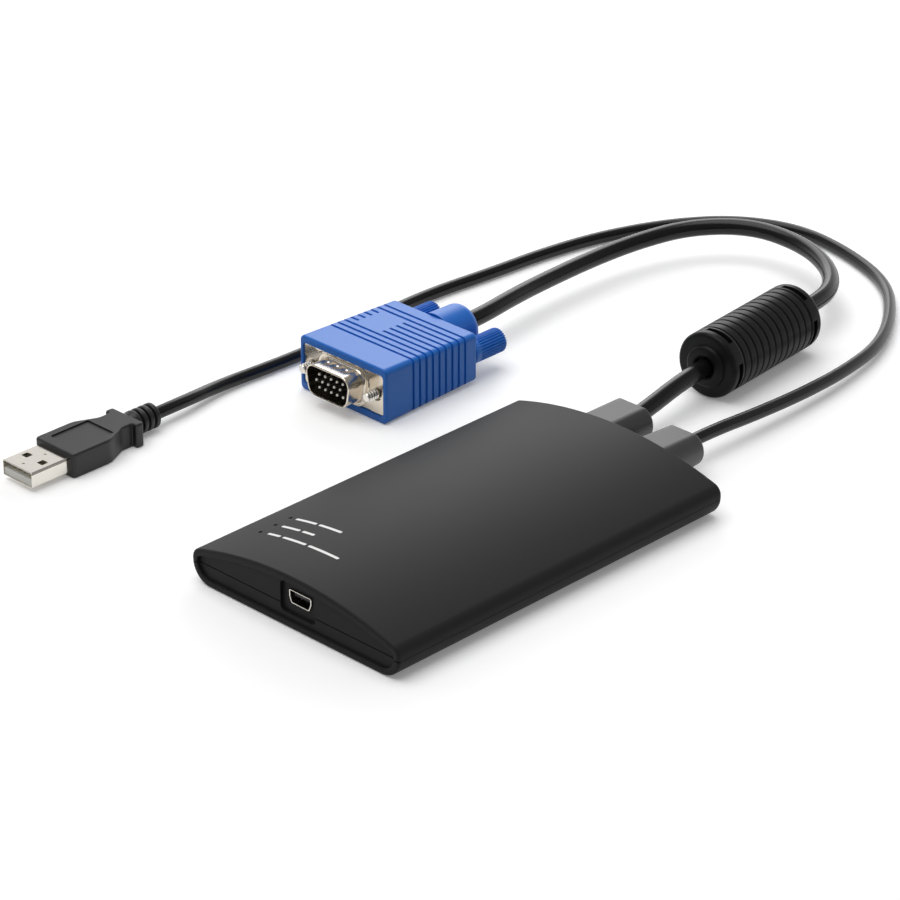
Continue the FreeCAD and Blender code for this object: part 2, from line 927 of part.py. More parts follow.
def hood_grooves():
    """Grooves round the hood, some of them broken by the plain pad on top."""
    left = video_plug_x - hood_width / 2
    pad = block(
        left + pad_from_left, left + pad_from_left + pad_width, hood_front_y, hood_rear_y,
        hood_mid_z, 2 * hood_height,
    )
    around = (hood_width + 2 * hood_corner_r, hood_height + 2 * hood_corner_r)
    rings = []
    for k in range(groove_count):
        y0 = hood_front_y + groove_first + k * groove_pitch - groove_width / 2
        y1 = y0 + groove_width
        outer = prism(
            rounded_rectangle(video_plug_x, hood_mid_z, *around, hood_corner_r), y0, y1
        )
        inner = Part.makeLoft(
            [hood_section(-groove_depth, y0), hood_section(-groove_depth, y1)], True, True
        )
        ring = outer.cut(inner)
        broken = pad_groove_index <= k < pad_groove_index + pad_groove_count
        rings.append(ring.cut(pad) if broken else ring)
    return rings


def hood_boot():
    """Tapered round boot where the lead enters the hood, with a rounded end."""
    end_r = hood_boot_r - hood_boot_taper
    profile = (
        (0, hood_rear_y - hood_edge),
        (hood_boot_r, hood_rear_y - hood_edge),
        (end_r, hood_boot_end - hood_boot_edge_r),
        (end_r - hood_boot_edge_r * 0.3, hood_boot_end - hood_boot_edge_r * 0.3),
        (end_r - hood_boot_edge_r, hood_boot_end),
        (0, hood_boot_end),
    )
    solid = turned(profile)
    solid.translate(at(video_plug_x, hood_mid_z))
    return solid


def video_hood():
    """Grooved hood and cable boot, moulded in one piece round the connector and the screws."""
    sections = [
        hood_section(-hood_edge, hood_front_y),
        hood_section(0, hood_front_y + hood_edge),
        hood_section(0, hood_rear_y - hood_edge),
        hood_section(-hood_edge, hood_rear_y),
    ]
    hood = Part.makeLoft(sections, True, True)
    hood = fused([hood, hood_boot()])
    plates_rear = rear_plate_y + flange_sheet
    plate_space = prism(
        rounded_rectangle(
            video_plug_x, hood_mid_z, flange_width + 2 * fit_gap, flange_height + 2 * fit_gap,
            flange_corner_r,
        ),
        hood_front_y,
        plates_rear,
    )
    shell_space = shell_solid(fit_gap, plates_rear, insulator_rear_y)
    tails = insulator_rear_y + pin_tail
    half_wide = pin_column_count * pin_pitch / 2 + solder_space
    half_high = row_pitch + solder_space
    pin_space = block(
        video_plug_x - half_wide, video_plug_x + half_wide, insulator_rear_y, tails,
        hood_mid_z - half_high, hood_mid_z + half_high,
    )
    collar_space = [
        rod(
            x, hood_mid_z, jack_collar_r + collar_gap, plates_rear,
            jack_collar_rear_y() + collar_gap,
        )
        for x in jack_places()
    ]
    bores = [
        rod(x, hood_mid_z, jack_shank_r + running_gap, plates_rear, hood_rear_y)
        for x in jack_places()
    ]
    return hood.cut(hood_grooves() + [plate_space, shell_space, pin_space] + collar_space + bores)


def jack_collar_rear_y():
    return rear_plate_y + flange_sheet + collar_gap + jack_collar_length


def jackscrew(x):
    """Thread, neck through the plates, collar that keeps the screw in, and shank to the knob."""
    tip = hood_front_y - jack_reach
    thread_end = flange_y - jack_thread_gap
    collar_rear = jack_collar_rear_y()
    collar_front = collar_rear - jack_collar_length
    rear = hood_rear_y + knob_gap + knob_grip_depth
    profile = (
        (0, tip),
        (jack_thread_r - jack_chamfer, tip),
        (jack_thread_r, tip + jack_chamfer),
        (jack_thread_r, thread_end),
        (jack_neck_r, thread_end),
        (jack_neck_r, collar_front),
        (jack_collar_r, collar_front),
        (jack_collar_r, collar_rear),
        (jack_shank_r, collar_rear),
        (jack_shank_r, rear),
        (0, rear),
    )
    screw = turned(profile)
    screw.translate(at(x, hood_mid_z))
    return screw


def knob(x):
    """Finger knob moulded on the screw's shank: plain collar, fluted grip, rounded end."""
    front = hood_rear_y + knob_gap
    end = front + knob_length
    flutes_end = end - knob_edge_r
    root = knob_r - flute_depth
    crests = []
    for k in range(2 * flute_count):
        turn = math.pi * k / flute_count
        radius = knob_r if k % 2 == 0 else root
        crests.append((radius * math.cos(turn), radius * math.sin(turn)))
    grip = prism(polygon(crests), front + knob_collar, flutes_end)
    soft = knob_edge_r * 0.3
    cap = turned(
        (
            (0, flutes_end),
            (root, flutes_end),
            (root - soft, end - soft),
            (root - knob_edge_r, end),
            (0, end),
        )
    )
    body = fused([rod(0, 0, knob_r, front, front + knob_collar), grip, cap])
    body = body.cut(rod(0, 0, jack_shank_r, front, front + knob_grip_depth))
    body.translate(at(x, hood_mid_z))
    return body


# The data plug
def tab_section(grow):
    radius = max(tab_corner_r + grow, tab_corner_r / 2)
    return rounded_rectangle(
        data_plug_x, data_z, tab_width + 2 * grow, tab_height + 2 * grow, radius
    )


def data_plug_shell():
    """Folded metal tab with two latch windows in its top and two in its base."""
    rear = grip_front_y + tab_tail
    tab = prism(tab_section(0), data_tip_y, rear)
    inside = prism(tab_section(-tab_sheet), data_tip_y, rear)
    size = (window_size, window_size, 2 * tab_height)
    windows = [
        centred_block(size, x, data_tip_y + window_setback, data_z - tab_height)
        for x in spread(2, window_spread, data_plug_x)
    ]
    return tab.cut([inside] + windows)


def data_tongue_top():
    return data_z - tab_height / 2 + tab_sheet + data_tongue_thickness


def data_plug_tongue():
    """Plastic tongue in the lower half of the tab, filling it at the back."""
    rear = grip_front_y + tab_tail
    inside = prism(tab_section(-tab_sheet - fit_gap / 4), data_tip_y + data_tongue_setback, rear)
    clear = block(
        data_plug_x - tab_width, data_plug_x + tab_width, data_tip_y, grip_front_y,
        data_tongue_top(), data_tongue_top() + tab_height,
    )
    return inside.cut(clear)


def data_plug_contacts():
    """Four flat contacts on the tongue."""
    size = (data_contact_width, data_contact_length, data_contact_thickness)
    y = data_tip_y + data_tongue_setback + data_contact_setback + data_contact_length / 2
    return Part.makeCompound(
        [
            centred_block(size, x, y, data_tongue_top())
            for x in spread(data_contact_count, data_contact_pitch, data_plug_x)
        ]
    )


def grip_outline():
    """Plan of the grip: front block, sides drawn in to a straight neck, and ears at the rear."""
    block_end = grip_front_y + grip_block
    taper_end = block_end + grip_taper
    neck_end = taper_end + grip_neck
    half_block, half_neck, half_ear = grip_width / 2, grip_neck_width / 2, grip_ear_width / 2

    def spot(half, y):
        return Vector(data_plug_x + half, y, 0)

    right = [
        line(spot(half_block, grip_front_y), spot(half_block, block_end)),
        line(spot(half_block, block_end), spot(half_neck, taper_end)),
        line(spot(half_neck, taper_end), spot(half_neck, neck_end)),
        line(spot(half_neck, neck_end), spot(half_ear, neck_end)),
        line(spot(half_ear, neck_end), spot(half_ear, grip_rear_y)),
    ]
    left = [
        line(spot(-half_ear, grip_rear_y), spot(-half_ear, neck_end)),
        line(spot(-half_ear, neck_end), spot(-half_neck, neck_end)),
        line(spot(-half_neck, neck_end), spot(-half_neck, taper_end)),
        line(spot(-half_neck, taper_end), spot(-half_block, block_end)),
        line(spot(-half_block, block_end), spot(-half_block, grip_front_y)),
    ]
    rear = line(spot(half_ear, grip_rear_y), spot(-half_ear, grip_rear_y))
    front = line(spot(-half_block, grip_front_y), spot(half_block, grip_front_y))
    return right + [rear] + left + [front]


def grip_relief():
    """Ringed strain relief behind the grip."""
    root = grip_rear_y - grip_edge
    pitch = relief_length / relief_ring_count
    profile = [(0, root), (relief_core_r, root)]
    for k in range(relief_ring_count):
        high = grip_rear_y + (k + 1) * pitch
        low = high - relief_ring_width
        profile += [
            (relief_core_r, low), (relief_ring_r, low), (relief_ring_r, high), (relief_core_r, high)
        ]
    profile.append((0, relief_end_y))
    solid = turned(profile)
    solid.translate(at(data_plug_x, relief_z))
    return solid


def data_plug_grip():
    """Moulded grip with a bare sunk field on top and a ringed strain relief."""
    body = Part.Face(Part.Wire(grip_outline())).extrude(Vector(0, 0, grip_height))
    broken = edges_on(body, "z", 0) + edges_on(body, "z", grip_height)
    body = body.makeChamfer(grip_edge, broken)
    body = fused([body, grip_relief()])
    tab_space = prism(tab_section(fit_gap / 4), grip_front_y, grip_front_y + tab_tail)
    badge = centred_block(
        (badge_width, badge_length, 2 * badge_depth),
        data_plug_x,
        grip_front_y + badge_setback + badge_length / 2,
        grip_height - badge_depth,
    )
    return body.cut([tab_space, badge])


# The leads and the ferrite
def rounded_path(points):
    """Straight runs joined by tangent arcs as large as the runs allow, and the arcs' radii."""
    spots = [Vector(*point) for point in points]
    edges, radii = [], []
    here = spots[0]
    for before, corner, after in zip(spots, spots[1:], spots[2:]):
        towards, away = before - corner, after - corner
        reach = 0.45 * min(towards.Length, away.Length)
        towards.normalize()
        away.normalize()
        half_turn = (math.pi - towards.getAngle(away)) / 2
        radius = reach / math.tan(half_turn)
        radii.append(radius)
        start, end = corner + towards * reach, corner + away * reach
        inward = towards + away
        inward.normalize()
        sag = radius / math.cos(half_turn) - radius
        edges.append(line(here, start))
        edges.append(arc(start, corner + inward * sag, end))
        here = end
    edges.append(line(here, spots[-1]))
    return Part.Wire(edges), radii


def cable(name, points, radius):
    """Round lead along its route. The printed volume ratio is 1 where the tube is sound."""
    path, radii = rounded_path(points)
    start = Vector(*points[0])
    ahead = Vector(*points[1]) - start
    ring = Part.Wire(Part.makeCircle(radius, start, ahead))
    tube = path.makePipeShell([ring], True, False)
    ratio = tube.Volume / (math.pi * radius**2 * path.Length)
    print(name, "length", round(path.Length, 1), "volume ratio", round(ratio, 4))
    print(name, "radii", [round(value, 1) for value in radii])
    return tube


def on_sleeve_run(shape):
    """Move a piece built along +Y from the origin to its place on the video lead."""
    start, end = Vector(*video_route[sleeve_run_index]), Vector(*video_route[sleeve_run_index + 1])
    along = end - start
    along.normalize()
    placed = shape.copy()
    turn = FreeCAD.Rotation(Y_AXIS, along)
    placed.Placement = FreeCAD.Placement(start + along * sleeve_from_corner, turn)
    return placed


def sleeve_profile():
    """Collared ends with a wider mouth, plain bands and evenly grooved middle of the sleeve."""
    bore = video_cable_r + fit_gap
    body_start = sleeve_collar_length
    body_end = sleeve_length - sleeve_collar_length
    soft = sleeve_end_r * 0.3
    profile = [
        (bore, sleeve_mouth_depth),
        (sleeve_mouth_r, sleeve_mouth_depth),
        (sleeve_mouth_r, 0),
        (sleeve_collar_r, 0),
        (sleeve_collar_r, body_start),
        (sleeve_r - sleeve_end_r, body_start),
        (sleeve_r - soft, body_start + soft),
        (sleeve_r, body_start + sleeve_end_r),
    ]
    pitch = (body_end - body_start - 2 * sleeve_band) / (sleeve_groove_count - 1)
    floor = sleeve_r - sleeve_groove_depth
    for y in spread(sleeve_groove_count, pitch, sleeve_length / 2):
        half = sleeve_groove_width / 2
        profile += [(sleeve_r, y - half), (floor, y), (sleeve_r, y + half)]
    profile += [
        (sleeve_r, body_end - sleeve_end_r),
        (sleeve_r - soft, body_end - soft),
        (sleeve_r - sleeve_end_r, body_end),
        (sleeve_collar_r, body_end),
        (sleeve_collar_r, sleeve_length),
        (sleeve_mouth_r, sleeve_length),
        (sleeve_mouth_r, sleeve_length - sleeve_mouth_depth),
        (bore, sleeve_length - sleeve_mouth_depth),
    ]
    return profile


def sleeve_slots():
    """Arc-shaped slots in the plain band at each end."""
    slots = []
    setback = sleeve_collar_length + slot_setback
    for y in (setback, sleeve_length - setback - slot_width):
        outer = Part.makeCylinder(2 * sleeve_r, slot_width, Vector(0, y, 0), Y_AXIS, slot_angle)
        sector = outer.cut(rod(0, 0, sleeve_r - slot_depth, y, y + slot_width))
        for k in range(slot_count):
            slot = sector.copy()
            slot.rotate(ORIGIN, Y_AXIS, slot_turn + 360 * k / slot_count)
            slots.append(slot)
    return slots


def ferrite_sleeve():
    """Grooved moulded sleeve round the core."""
    core_start = (sleeve_length - core_length) / 2
    core_space = rod(0, 0, core_r + fit_gap, core_start, core_start + core_length)
    return on_sleeve_run(turned(sleeve_profile()).cut(sleeve_slots() + [core_space]))


def ferrite_core():
    """Ceramic tube inside the sleeve, with the lead through its bore."""
    start = (sleeve_length - core_length) / 2
    core = rod(0, 0, core_r, start, start + core_length)
    return on_sleeve_run(core.cut(rod(0, 0, core_bore_r, start, start + core_length)))


os.makedirs("parts", exist_ok=True)

hollow = case_body()
left_jack, right_jack = jack_places()
pieces = {
    "top_cover": top_cover(hollow),
    "bottom_cover": bottom_cover(hollow),
    "case_screws": case_screws(),
    "circuit_board": circuit_board(),
    "port_shell": port_shell(),
    "port_insulator": port_insulator(),
    "port_contacts": port_contacts(),
    "status_lights": status_lights(),
    "processor_chip": chip(processor_size, processor_place),
    "sampler_chip": chip(sampler_size, sampler_place),
    "memory_chip": chip(memory_size, memory_place),
    "bridge_chip": chip(bridge_size, bridge_place),
    "clock_crystals": Part.makeCompound([crystal(x, y) for x, y in crystal_places]),
    "bulk_capacitors": Part.makeCompound([capacitor(x, y) for x, y in capacitor_places]),
    "power_coils": blocks_on_board(coil_size, coil_places),
    "voltage_regulators": blocks_on_board(regulator_size, regulator_places),
    "video_header": board_header(video_boot_x, video_wire_count),
    "video_header_plug": header_plug(video_boot_x, video_wire_count),
    "video_wires": lead_wires(video_boot_x, video_wire_count),
    "data_header": board_header(data_boot_x, data_wire_count),
    "data_header_plug": header_plug(data_boot_x, data_wire_count),
    "data_wires": lead_wires(data_boot_x, data_wire_count),
    "video_boot": boot(
        video_boot_x, video_boot_length, video_boot_side_r, video_boot_half_height
    ),
    "data_boot": boot(data_boot_x, data_boot_length, data_boot_side_r, data_boot_half_height),
    "video_cable": cable("video_cable", video_route, video_cable_r),
    "ferrite_sleeve": ferrite_sleeve(),
    "ferrite_core": ferrite_core(),
    "video_hood": video_hood(),
    "video_front_shell": video_front_shell(),
    "video_rear_shell": video_rear_shell(),
    "video_insulator": video_insulator(),
    "video_pins": video_pins(),
    "left_jackscrew": jackscrew(left_jack),
    "left_knob": knob(left_jack),
    "right_jackscrew": jackscrew(right_jack),
    "right_knob": knob(right_jack),
    "data_cable": cable("data_cable", data_route, data_cable_r),
    "data_plug_grip": data_plug_grip(),
    "data_plug_shell": data_plug_shell(),
    "data_plug_tongue": data_plug_tongue(),
    "data_plug_contacts": data_plug_contacts(),
}
for name, shape in pieces.items():
    save(name, shape)
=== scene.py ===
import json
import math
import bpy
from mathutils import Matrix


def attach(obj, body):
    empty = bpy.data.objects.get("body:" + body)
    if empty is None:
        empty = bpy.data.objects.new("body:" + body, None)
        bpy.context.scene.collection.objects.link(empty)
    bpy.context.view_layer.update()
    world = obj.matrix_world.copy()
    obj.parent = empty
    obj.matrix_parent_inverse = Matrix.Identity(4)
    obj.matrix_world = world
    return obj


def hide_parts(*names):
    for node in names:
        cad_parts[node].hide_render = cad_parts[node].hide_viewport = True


bl_info = {
    "name": "Crash Cart Adapter",
    "version": (1, 0, 0),
    "blender": (4, 5, 0),
    "location": "View3D > Sidebar > Adapter",
    "description": "Dresses a crash cart adapter with its leads, plugs, finishes and studio",
    "category": "Object",
}

from types import SimpleNamespace

import bmesh
import bpy
import numpy as np
from bpy.props import FloatProperty, FloatVectorProperty, PointerProperty
from mathutils import Vector

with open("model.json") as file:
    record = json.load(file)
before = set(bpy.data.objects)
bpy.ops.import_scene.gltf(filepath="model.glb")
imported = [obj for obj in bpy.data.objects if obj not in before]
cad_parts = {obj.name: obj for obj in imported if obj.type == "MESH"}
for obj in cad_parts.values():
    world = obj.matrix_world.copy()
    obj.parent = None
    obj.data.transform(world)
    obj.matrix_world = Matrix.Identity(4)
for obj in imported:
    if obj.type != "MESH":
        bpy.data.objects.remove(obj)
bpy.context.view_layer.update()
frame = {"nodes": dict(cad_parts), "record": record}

# Shapes are worked out in millimetres and put into their meshes in metres.
MM = 0.001
QUARTER, TURN = math.pi / 2, 2 * math.pi
BODY = "adapter"
# How far a cutting form stands past what it cuts
PAST = 0.4


# Settings
def length(name, description, millimetres):
    """A length that a user can change, shown in the scene's unit."""
    return FloatProperty(
        name=name, description=description, default=millimetres * MM, min=0.0, precision=5,
        subtype="DISTANCE", unit="LENGTH",
    )


def angle_setting(name, description, degrees):
    """An angle that a user can change."""
    return FloatProperty(
        name=name, description=description, default=math.radians(degrees), subtype="ANGLE"
    )


def strength_setting(name, description, level):
    """Strength of a light, 1 being white."""
    return FloatProperty(name=name, description=description, default=level, min=0.0)


def colour(name, description, red, green, blue):
    """A finish's base colour."""
    return FloatVectorProperty(
        name=name, description=description, default=(red, green, blue), min=0.0, max=1.0, size=3,
        subtype="COLOR",
    )


class CaseSettings(bpy.types.PropertyGroup):
    """Sizes of the box and its openings."""

    width: length("Width", "Box across its long sides", 73.2)
    length: length("Length", "Box from the port end to the lead end", 117.4)
    height: length("Height", "Underside to the middle of the crown", 14.6)
    lower_corner: length("Lower corner", "Radius along the lower long edges", 6.2)
    side_flat: length("Side flat", "Upright strip between the two side radii", 0.5)
    shoulder: length("Shoulder", "Radius between the sides and the crown", 3.0)
    parting: length("Parting line", "Height where the two covers meet", 5.8)
    rim_width: length("Rim width", "Raised rim round each end", 1.9)
    rim_depth: length("Rim depth", "How far the ends lie behind their rims", 0.9)
    rim_edge: length("Rim edge", "Radius on the outside of the rims", 0.75)
    wall: length("Wall", "Thickness of the covers", 2.0)
    seam_height: length("Seam height", "Height of the shadow groove", 0.3)
    seam_depth: length("Seam depth", "Depth of the shadow groove in the ends", 0.5)
    seam_side: length("Side seam depth", "Depth of the shadow groove along the sides", 0.1)


class PortSettings(bpy.types.PropertyGroup):
    """Sizes of the small port and its pocket."""

    x: length("Across", "Middle of the port from the middle of the box", 1.2)
    z: length("Base", "Underside of the port's sleeve", 6.4)
    width: length("Width", "Sleeve across its upper part", 7.8)
    height: length("Height", "Sleeve from base to top", 3.8)
    slant_rise: length("Slant rise", "Height at which the sides start to slant in", 1.9)
    slant_in: length("Slant in", "How far each lower side slants in", 0.75)
    sheet: length("Sheet", "Thickness of the sleeve", 0.35)
    depth: length("Depth", "Sleeve from mouth to back", 9.2)
    proud: length("Proud", "How far the mouth stands out of the pocket's floor", 0.5)
    pocket_x: length("Pocket across", "Middle of the pocket from the middle of the box", 0.8)
    pocket_half: length("Pocket half width", "Half the width of the pocket", 6.15)
    pocket_low: length("Pocket base", "Lower edge of the pocket", 3.5)
    pocket_high: length("Pocket top", "Upper edge of the pocket", 12.1)
    pocket_depth: length("Pocket depth", "Pocket behind the end face", 0.9)


class LeadSettings(bpy.types.PropertyGroup):
    """Sizes of both leads, their boots and the ferrite sleeve."""

    video_radius: length("Video lead radius", "Half the thickness of the video lead", 2.5)
    data_radius: length("Data lead radius", "Half the thickness of the data lead", 1.8)
    boot_edge: length("Boot edge", "Radius round the end of each boot", 0.9)
    sleeve_radius: length("Sleeve radius", "Ferrite sleeve over its ribs", 9.6)
    sleeve_length: length("Sleeve length", "Ferrite sleeve with its collars", 44.6)
    groove_depth: length("Sleeve groove depth", "Depth of the sleeve's grooves", 0.55)


class VideoPlugSettings(bpy.types.PropertyGroup):
    """Sizes of the video plug."""

    front: length("Front", "Front of the hood along the box", 35.4)
    width: length("Hood width", "Front of the hood from side to side", 33.5)
    height: length("Hood height", "Front of the hood from base to top", 16.5)
    rear_width: length("Rear width", "Rear of the hood from side to side", 32.6)
    rear_height: length("Rear height", "Rear of the hood from base to top", 14.4)
    long: length("Hood length", "Hood without its boot", 35.6)
    corner: length("Hood corner", "Radius along the hood's long edges", 1.6)
    edge: length("Hood edge", "Radius round the hood's ends", 0.6)
    groove_first: length("First groove", "Front of the hood to the middle of its first groove", 10.6)
    groove_pitch: length("Groove pitch", "Middle of one groove to the next", 2.54)
    groove_depth: length("Groove depth", "Depth of the hood's grooves", 0.5)
    groove_width: length("Groove width", "Width of the hood's grooves", 0.8)
    knob_radius: length("Knob radius", "Thumbscrew knob over its flutes", 3.6)
    flute_depth: length("Flute depth", "Depth of the knob's flutes", 0.35)


class DataPlugSettings(bpy.types.PropertyGroup):
    """Sizes of the data plug."""

    height: length("Grip height", "Grip from base to top", 7.1)
    edge: length("Grip edge", "Radius round the grip's top and base", 0.6)
    tab_width: length("Tab width", "Metal tab from side to side", 12.0)
    tab_height: length("Tab height", "Metal tab from base to top", 4.5)
    tab_sheet: length("Tab sheet", "Thickness of the tab's metal", 0.3)


class FinishSettings(bpy.types.PropertyGroup):
    """Base colours of the finishes."""

    case: colour("Case", "Soft matte box", 0.020, 0.0194, 0.0197)
    black_vinyl: colour("Black vinyl", "Boots, grip and ferrite sleeve", 0.009, 0.009, 0.0095)
    jacket: colour("Jacket", "Both leads", 0.006, 0.006, 0.0065)
    blue_vinyl: colour("Blue vinyl", "Hood and knobs", 0.013, 0.15, 0.58)
    nickel: colour("Nickel", "Tab, port and screws", 0.80, 0.765, 0.70)
    face: colour("Plug face", "Metal face of the video plug", 0.72, 0.655, 0.56)
    pin: colour("Pins", "Contact pins of the video plug", 0.95, 0.92, 0.85)
    gold: colour("Gold", "Contacts of the port and the data plug", 0.92, 0.84, 0.66)
    ink: colour("Ink", "Printed bars on the box", 0.80, 0.80, 0.79)


class StudioSettings(bpy.types.PropertyGroup):
    """Camera and light."""

    lens: FloatProperty(
        name="Lens", description="Focal length on a 36 mm sensor", default=154.82, min=1.0,
        unit="CAMERA",
    )
    azimuth: angle_setting("Azimuth", "Camera round the box from its port end", 44.425)
    elevation: angle_setting("Elevation", "Camera above the table", 27.097)
    place: FloatVectorProperty(
        name="Camera place", description="Camera position", default=(0.60333, -0.61949, 0.4706),
        size=3, subtype="TRANSLATION", unit="LENGTH",
    )
    key: strength_setting("Key", "Wide soft light overhead", 1.75)
    key_spread: angle_setting("Key spread", "Angle that the overhead light fills", 58.0)
    sky_low: strength_setting("Dim sky", "Sky overhead and on the camera's side", 0.25)
    sky_high: strength_setting("Bright sky", "Sky low down behind the object", 1.5)
    card_power: FloatProperty(
        name="Card", description="Power of the small soft light that tops reflect", default=0.38,
        min=0.0, subtype="POWER", unit="POWER",
    )
    table_lift: strength_setting(
        "Table lift", "How much whiter the table looks than its light makes it", 0.16
    )


SETTINGS = {
    "adapter_case": CaseSettings,
    "adapter_port": PortSettings,
    "adapter_leads": LeadSettings,
    "adapter_video_plug": VideoPlugSettings,
    "adapter_data_plug": DataPlugSettings,
    "adapter_finishes": FinishSettings,
    "adapter_studio": StudioSettings,
}


def sizes(name):
    """One group's lengths in millimetres."""
    group = getattr(bpy.context.scene, name)
    return SimpleNamespace(**{key: getattr(group, key) / MM for key in group.__annotations__})


# Points and loops
def unit(vectors):
    """Vectors drawn to length one."""
    return vectors / np.linalg.norm(vectors, axis=-1, keepdims=True)


def circle(angle):
    """Points of the unit circle: cosine and sine of each angle."""
    return np.stack([np.cos(angle), np.sin(angle)], axis=-1)


def around(number):
    """Evenly spaced angles of a full turn."""
    return np.linspace(0, TURN, number, endpoint=False)


def arc_row(centre, radius, start, end, number):
    """Points on a circle about centre, from one angle to another."""
    return np.array(centre) + radius * circle(np.linspace(start, end, number))


def rounded_loop(corners, radius, inset=0.0, steps=10):
    """Closed loop through corners given anticlockwise, with an arc in each, tangent to both edges.

    Inset moves every edge inwards. The arcs keep their centres, so the radius of an outer corner
    shrinks by inset and that of a hollow corner grows by it.
    """
    corners = np.asarray(corners, float)
    back = unit(np.roll(corners, 1, axis=0) - corners)
    ahead = unit(np.roll(corners, -1, axis=0) - corners)
    outer = np.sign(ahead[:, 0] * back[:, 1] - ahead[:, 1] * back[:, 0])
    half = np.arccos(np.clip((back * ahead).sum(axis=1), -1, 1)) / 2
    radius = np.broadcast_to(radius, half.shape)
    centre = corners + unit(back + ahead) * (radius / np.sin(half))[:, None]
    reach = (radius / np.tan(half))[:, None]
    first, last = corners + back * reach - centre, corners + ahead * reach - centre
    start = np.arctan2(first[:, 1], first[:, 0])
    sweep = (np.arctan2(last[:, 1], last[:, 0]) - start + math.pi) % TURN - math.pi
    angle = start[:, None] + sweep[:, None] * np.linspace(0, 1, steps)
    return (centre[:, None] + (radius - outer * inset)[:, None, None] * circle(angle)).reshape(-1, 2)


def box_corners(x, z, width, height):
    """Corners of a rectangle about x, z, anticlockwise."""
    across, up = width / 2, height / 2
    return [(x - across, z - up), (x + across, z - up), (x + across, z + up), (x - across, z + up)]


def even_loop(loop, number):
    """The same closed loop with its points evenly spaced along it."""
    ring = np.vstack([loop, loop[:1]])
    run = np.concatenate([[0.0], np.cumsum(np.linalg.norm(np.diff(ring, axis=0), axis=1))])
    place = np.linspace(0, run[-1], number, endpoint=False)
    return np.stack([np.interp(place, run, ring[:, 0]), np.interp(place, run, ring[:, 1])], axis=1)


def polar_loop(loop, middle, angles):
    """Points where rays from middle at the given angles meet the loop."""
    fine = 4000
    away = even_loop(loop, fine) - middle
    turn = np.arctan2(away[:, 1], away[:, 0])
    reach = np.interp(angles, turn, np.hypot(away[:, 0], away[:, 1]), period=TURN)
    return middle + reach[:, None] * circle(angles)


def outward(loop):
    """Unit normals of an anticlockwise loop: each point's neighbours' difference, turned right."""
    step = np.roll(loop, -1, axis=0) - np.roll(loop, 1, axis=0)
    return unit(np.stack([step[:, 1], -step[:, 0]], axis=1))


def round_rows(level, way, radius, steps=7):
    """Rows (place, inset) of a quarter circle that turns a side into an end at level.

    The side runs towards way, +1 or -1. The first row lies on the side, the last on the end.
    """
    angle = np.linspace(0, QUARTER, steps)
    return np.stack(
        [level - way * radius * (1 - np.sin(angle)), radius * (1 - np.cos(angle))], axis=1
    )


def round_profile(rows, radius):
    """Rows (place, inset) of a round edge on a turned form, as rows (radius, place)."""
    return np.stack([radius - rows[:, 1], rows[:, 0]], axis=1)


def sheet_rows(mouth, rear, floor, sheet):
    """Rows (place, inset) of a metal tube.

    The outer wall runs from rear to a round lip at mouth, and the inner wall from there to floor.
    """
    lip = round_rows(mouth, -1, sheet / 2, 4)
    inner = lip[::-1] * (1, -1) + (0, sheet)
    return np.vstack([[(rear, 0.0)], lip, inner[1:], [(floor, sheet)]])


def along_y(loops, places):
    """Loops of (x, z) set at their places along Y, as an array of points."""
    loops = np.asarray(loops, float)
    y = np.broadcast_to(np.asarray(places, float)[:, None], loops.shape[:2])
    return np.stack([loops[..., 0], y, loops[..., 1]], axis=-1)


def along_z(loops, places):
    """Loops of (x, y) set at their heights, as an array of points."""
    return along_y(loops, places)[..., [0, 2, 1]]


def turned(profile, x=0.0, z=0.0, number=64):
    """Profile of (radius, y) turned about an axis along Y through x, z."""
    radius, y = np.asarray(profile, float).T
    return along_y((x, z) + radius[:, None, None] * circle(around(number)), y)


# Shapes and objects
def closed(rows, ring=False):
    """Points, side faces and end faces of a closed form.

    Rows of points are joined by quads, each row closed round. The two end rows get a flat face, or
    are joined to each other where ring is set.
    """
    number, wide = rows.shape[:2]
    index = np.arange(number * wide).reshape(number, wide)
    here = index if ring else index[:-1]
    ahead = np.roll(index, -1, axis=0)[: len(here)]
    quads = np.stack([here, np.roll(here, -1, axis=1), np.roll(ahead, -1, axis=1), ahead], axis=-1)
    ends = index[:0] if ring else np.stack([index[0, ::-1], index[-1]])
    return rows.reshape(-1, 3), quads.reshape(-1, 4), ends


def prism(loop, y0, y1):
    """Closed form of one section between two places along Y."""
    return closed(along_y([loop, loop], [y0, y1]))


def block(loop, z0, z1):
    """Closed form of one plan between two heights."""
    return closed(along_z([loop, loop], [z0, z1]))


def post(x, y, radius, z0, z1, number=48):
    """Closed upright cylinder."""
    return block((x, y) + radius * circle(around(number)), z0, z1)


def rod(x, z, radius, y0, y1):
    """Closed cylinder along Y."""
    return closed(turned([(radius, y0), (radius, y1)], x, z, 48))


def raw_object(name, shapes):
    """Object of one or more closed forms, in metres, with its faces turned outwards."""
    points, faces, first = [], [], 0
    for shape_points, quads, ends in shapes:
        points.append(shape_points)
        faces += (quads + first).tolist() + (ends + first).tolist()
        first += len(shape_points)
    mesh = bpy.data.meshes.new(name)
    mesh.from_pydata(np.vstack(points) * MM, [], faces)
    work = bmesh.new()
    work.from_mesh(mesh)
    bmesh.ops.recalc_face_normals(work, faces=work.faces)
    work.to_mesh(mesh)
    work.free()
    piece = bpy.data.objects.new(name, mesh)
    bpy.context.scene.collection.objects.link(piece)
    return piece


def apply_modifiers(piece):
    """Put the modifiers' result into the piece's own mesh."""
    graph = bpy.context.evaluated_depsgraph_get()
    graph.update()
    mesh = bpy.data.meshes.new_from_object(piece.evaluated_get(graph), depsgraph=graph)
    old = piece.data
    piece.modifiers.clear()
    piece.data = mesh
    bpy.data.meshes.remove(old)
    mesh.name = piece.name


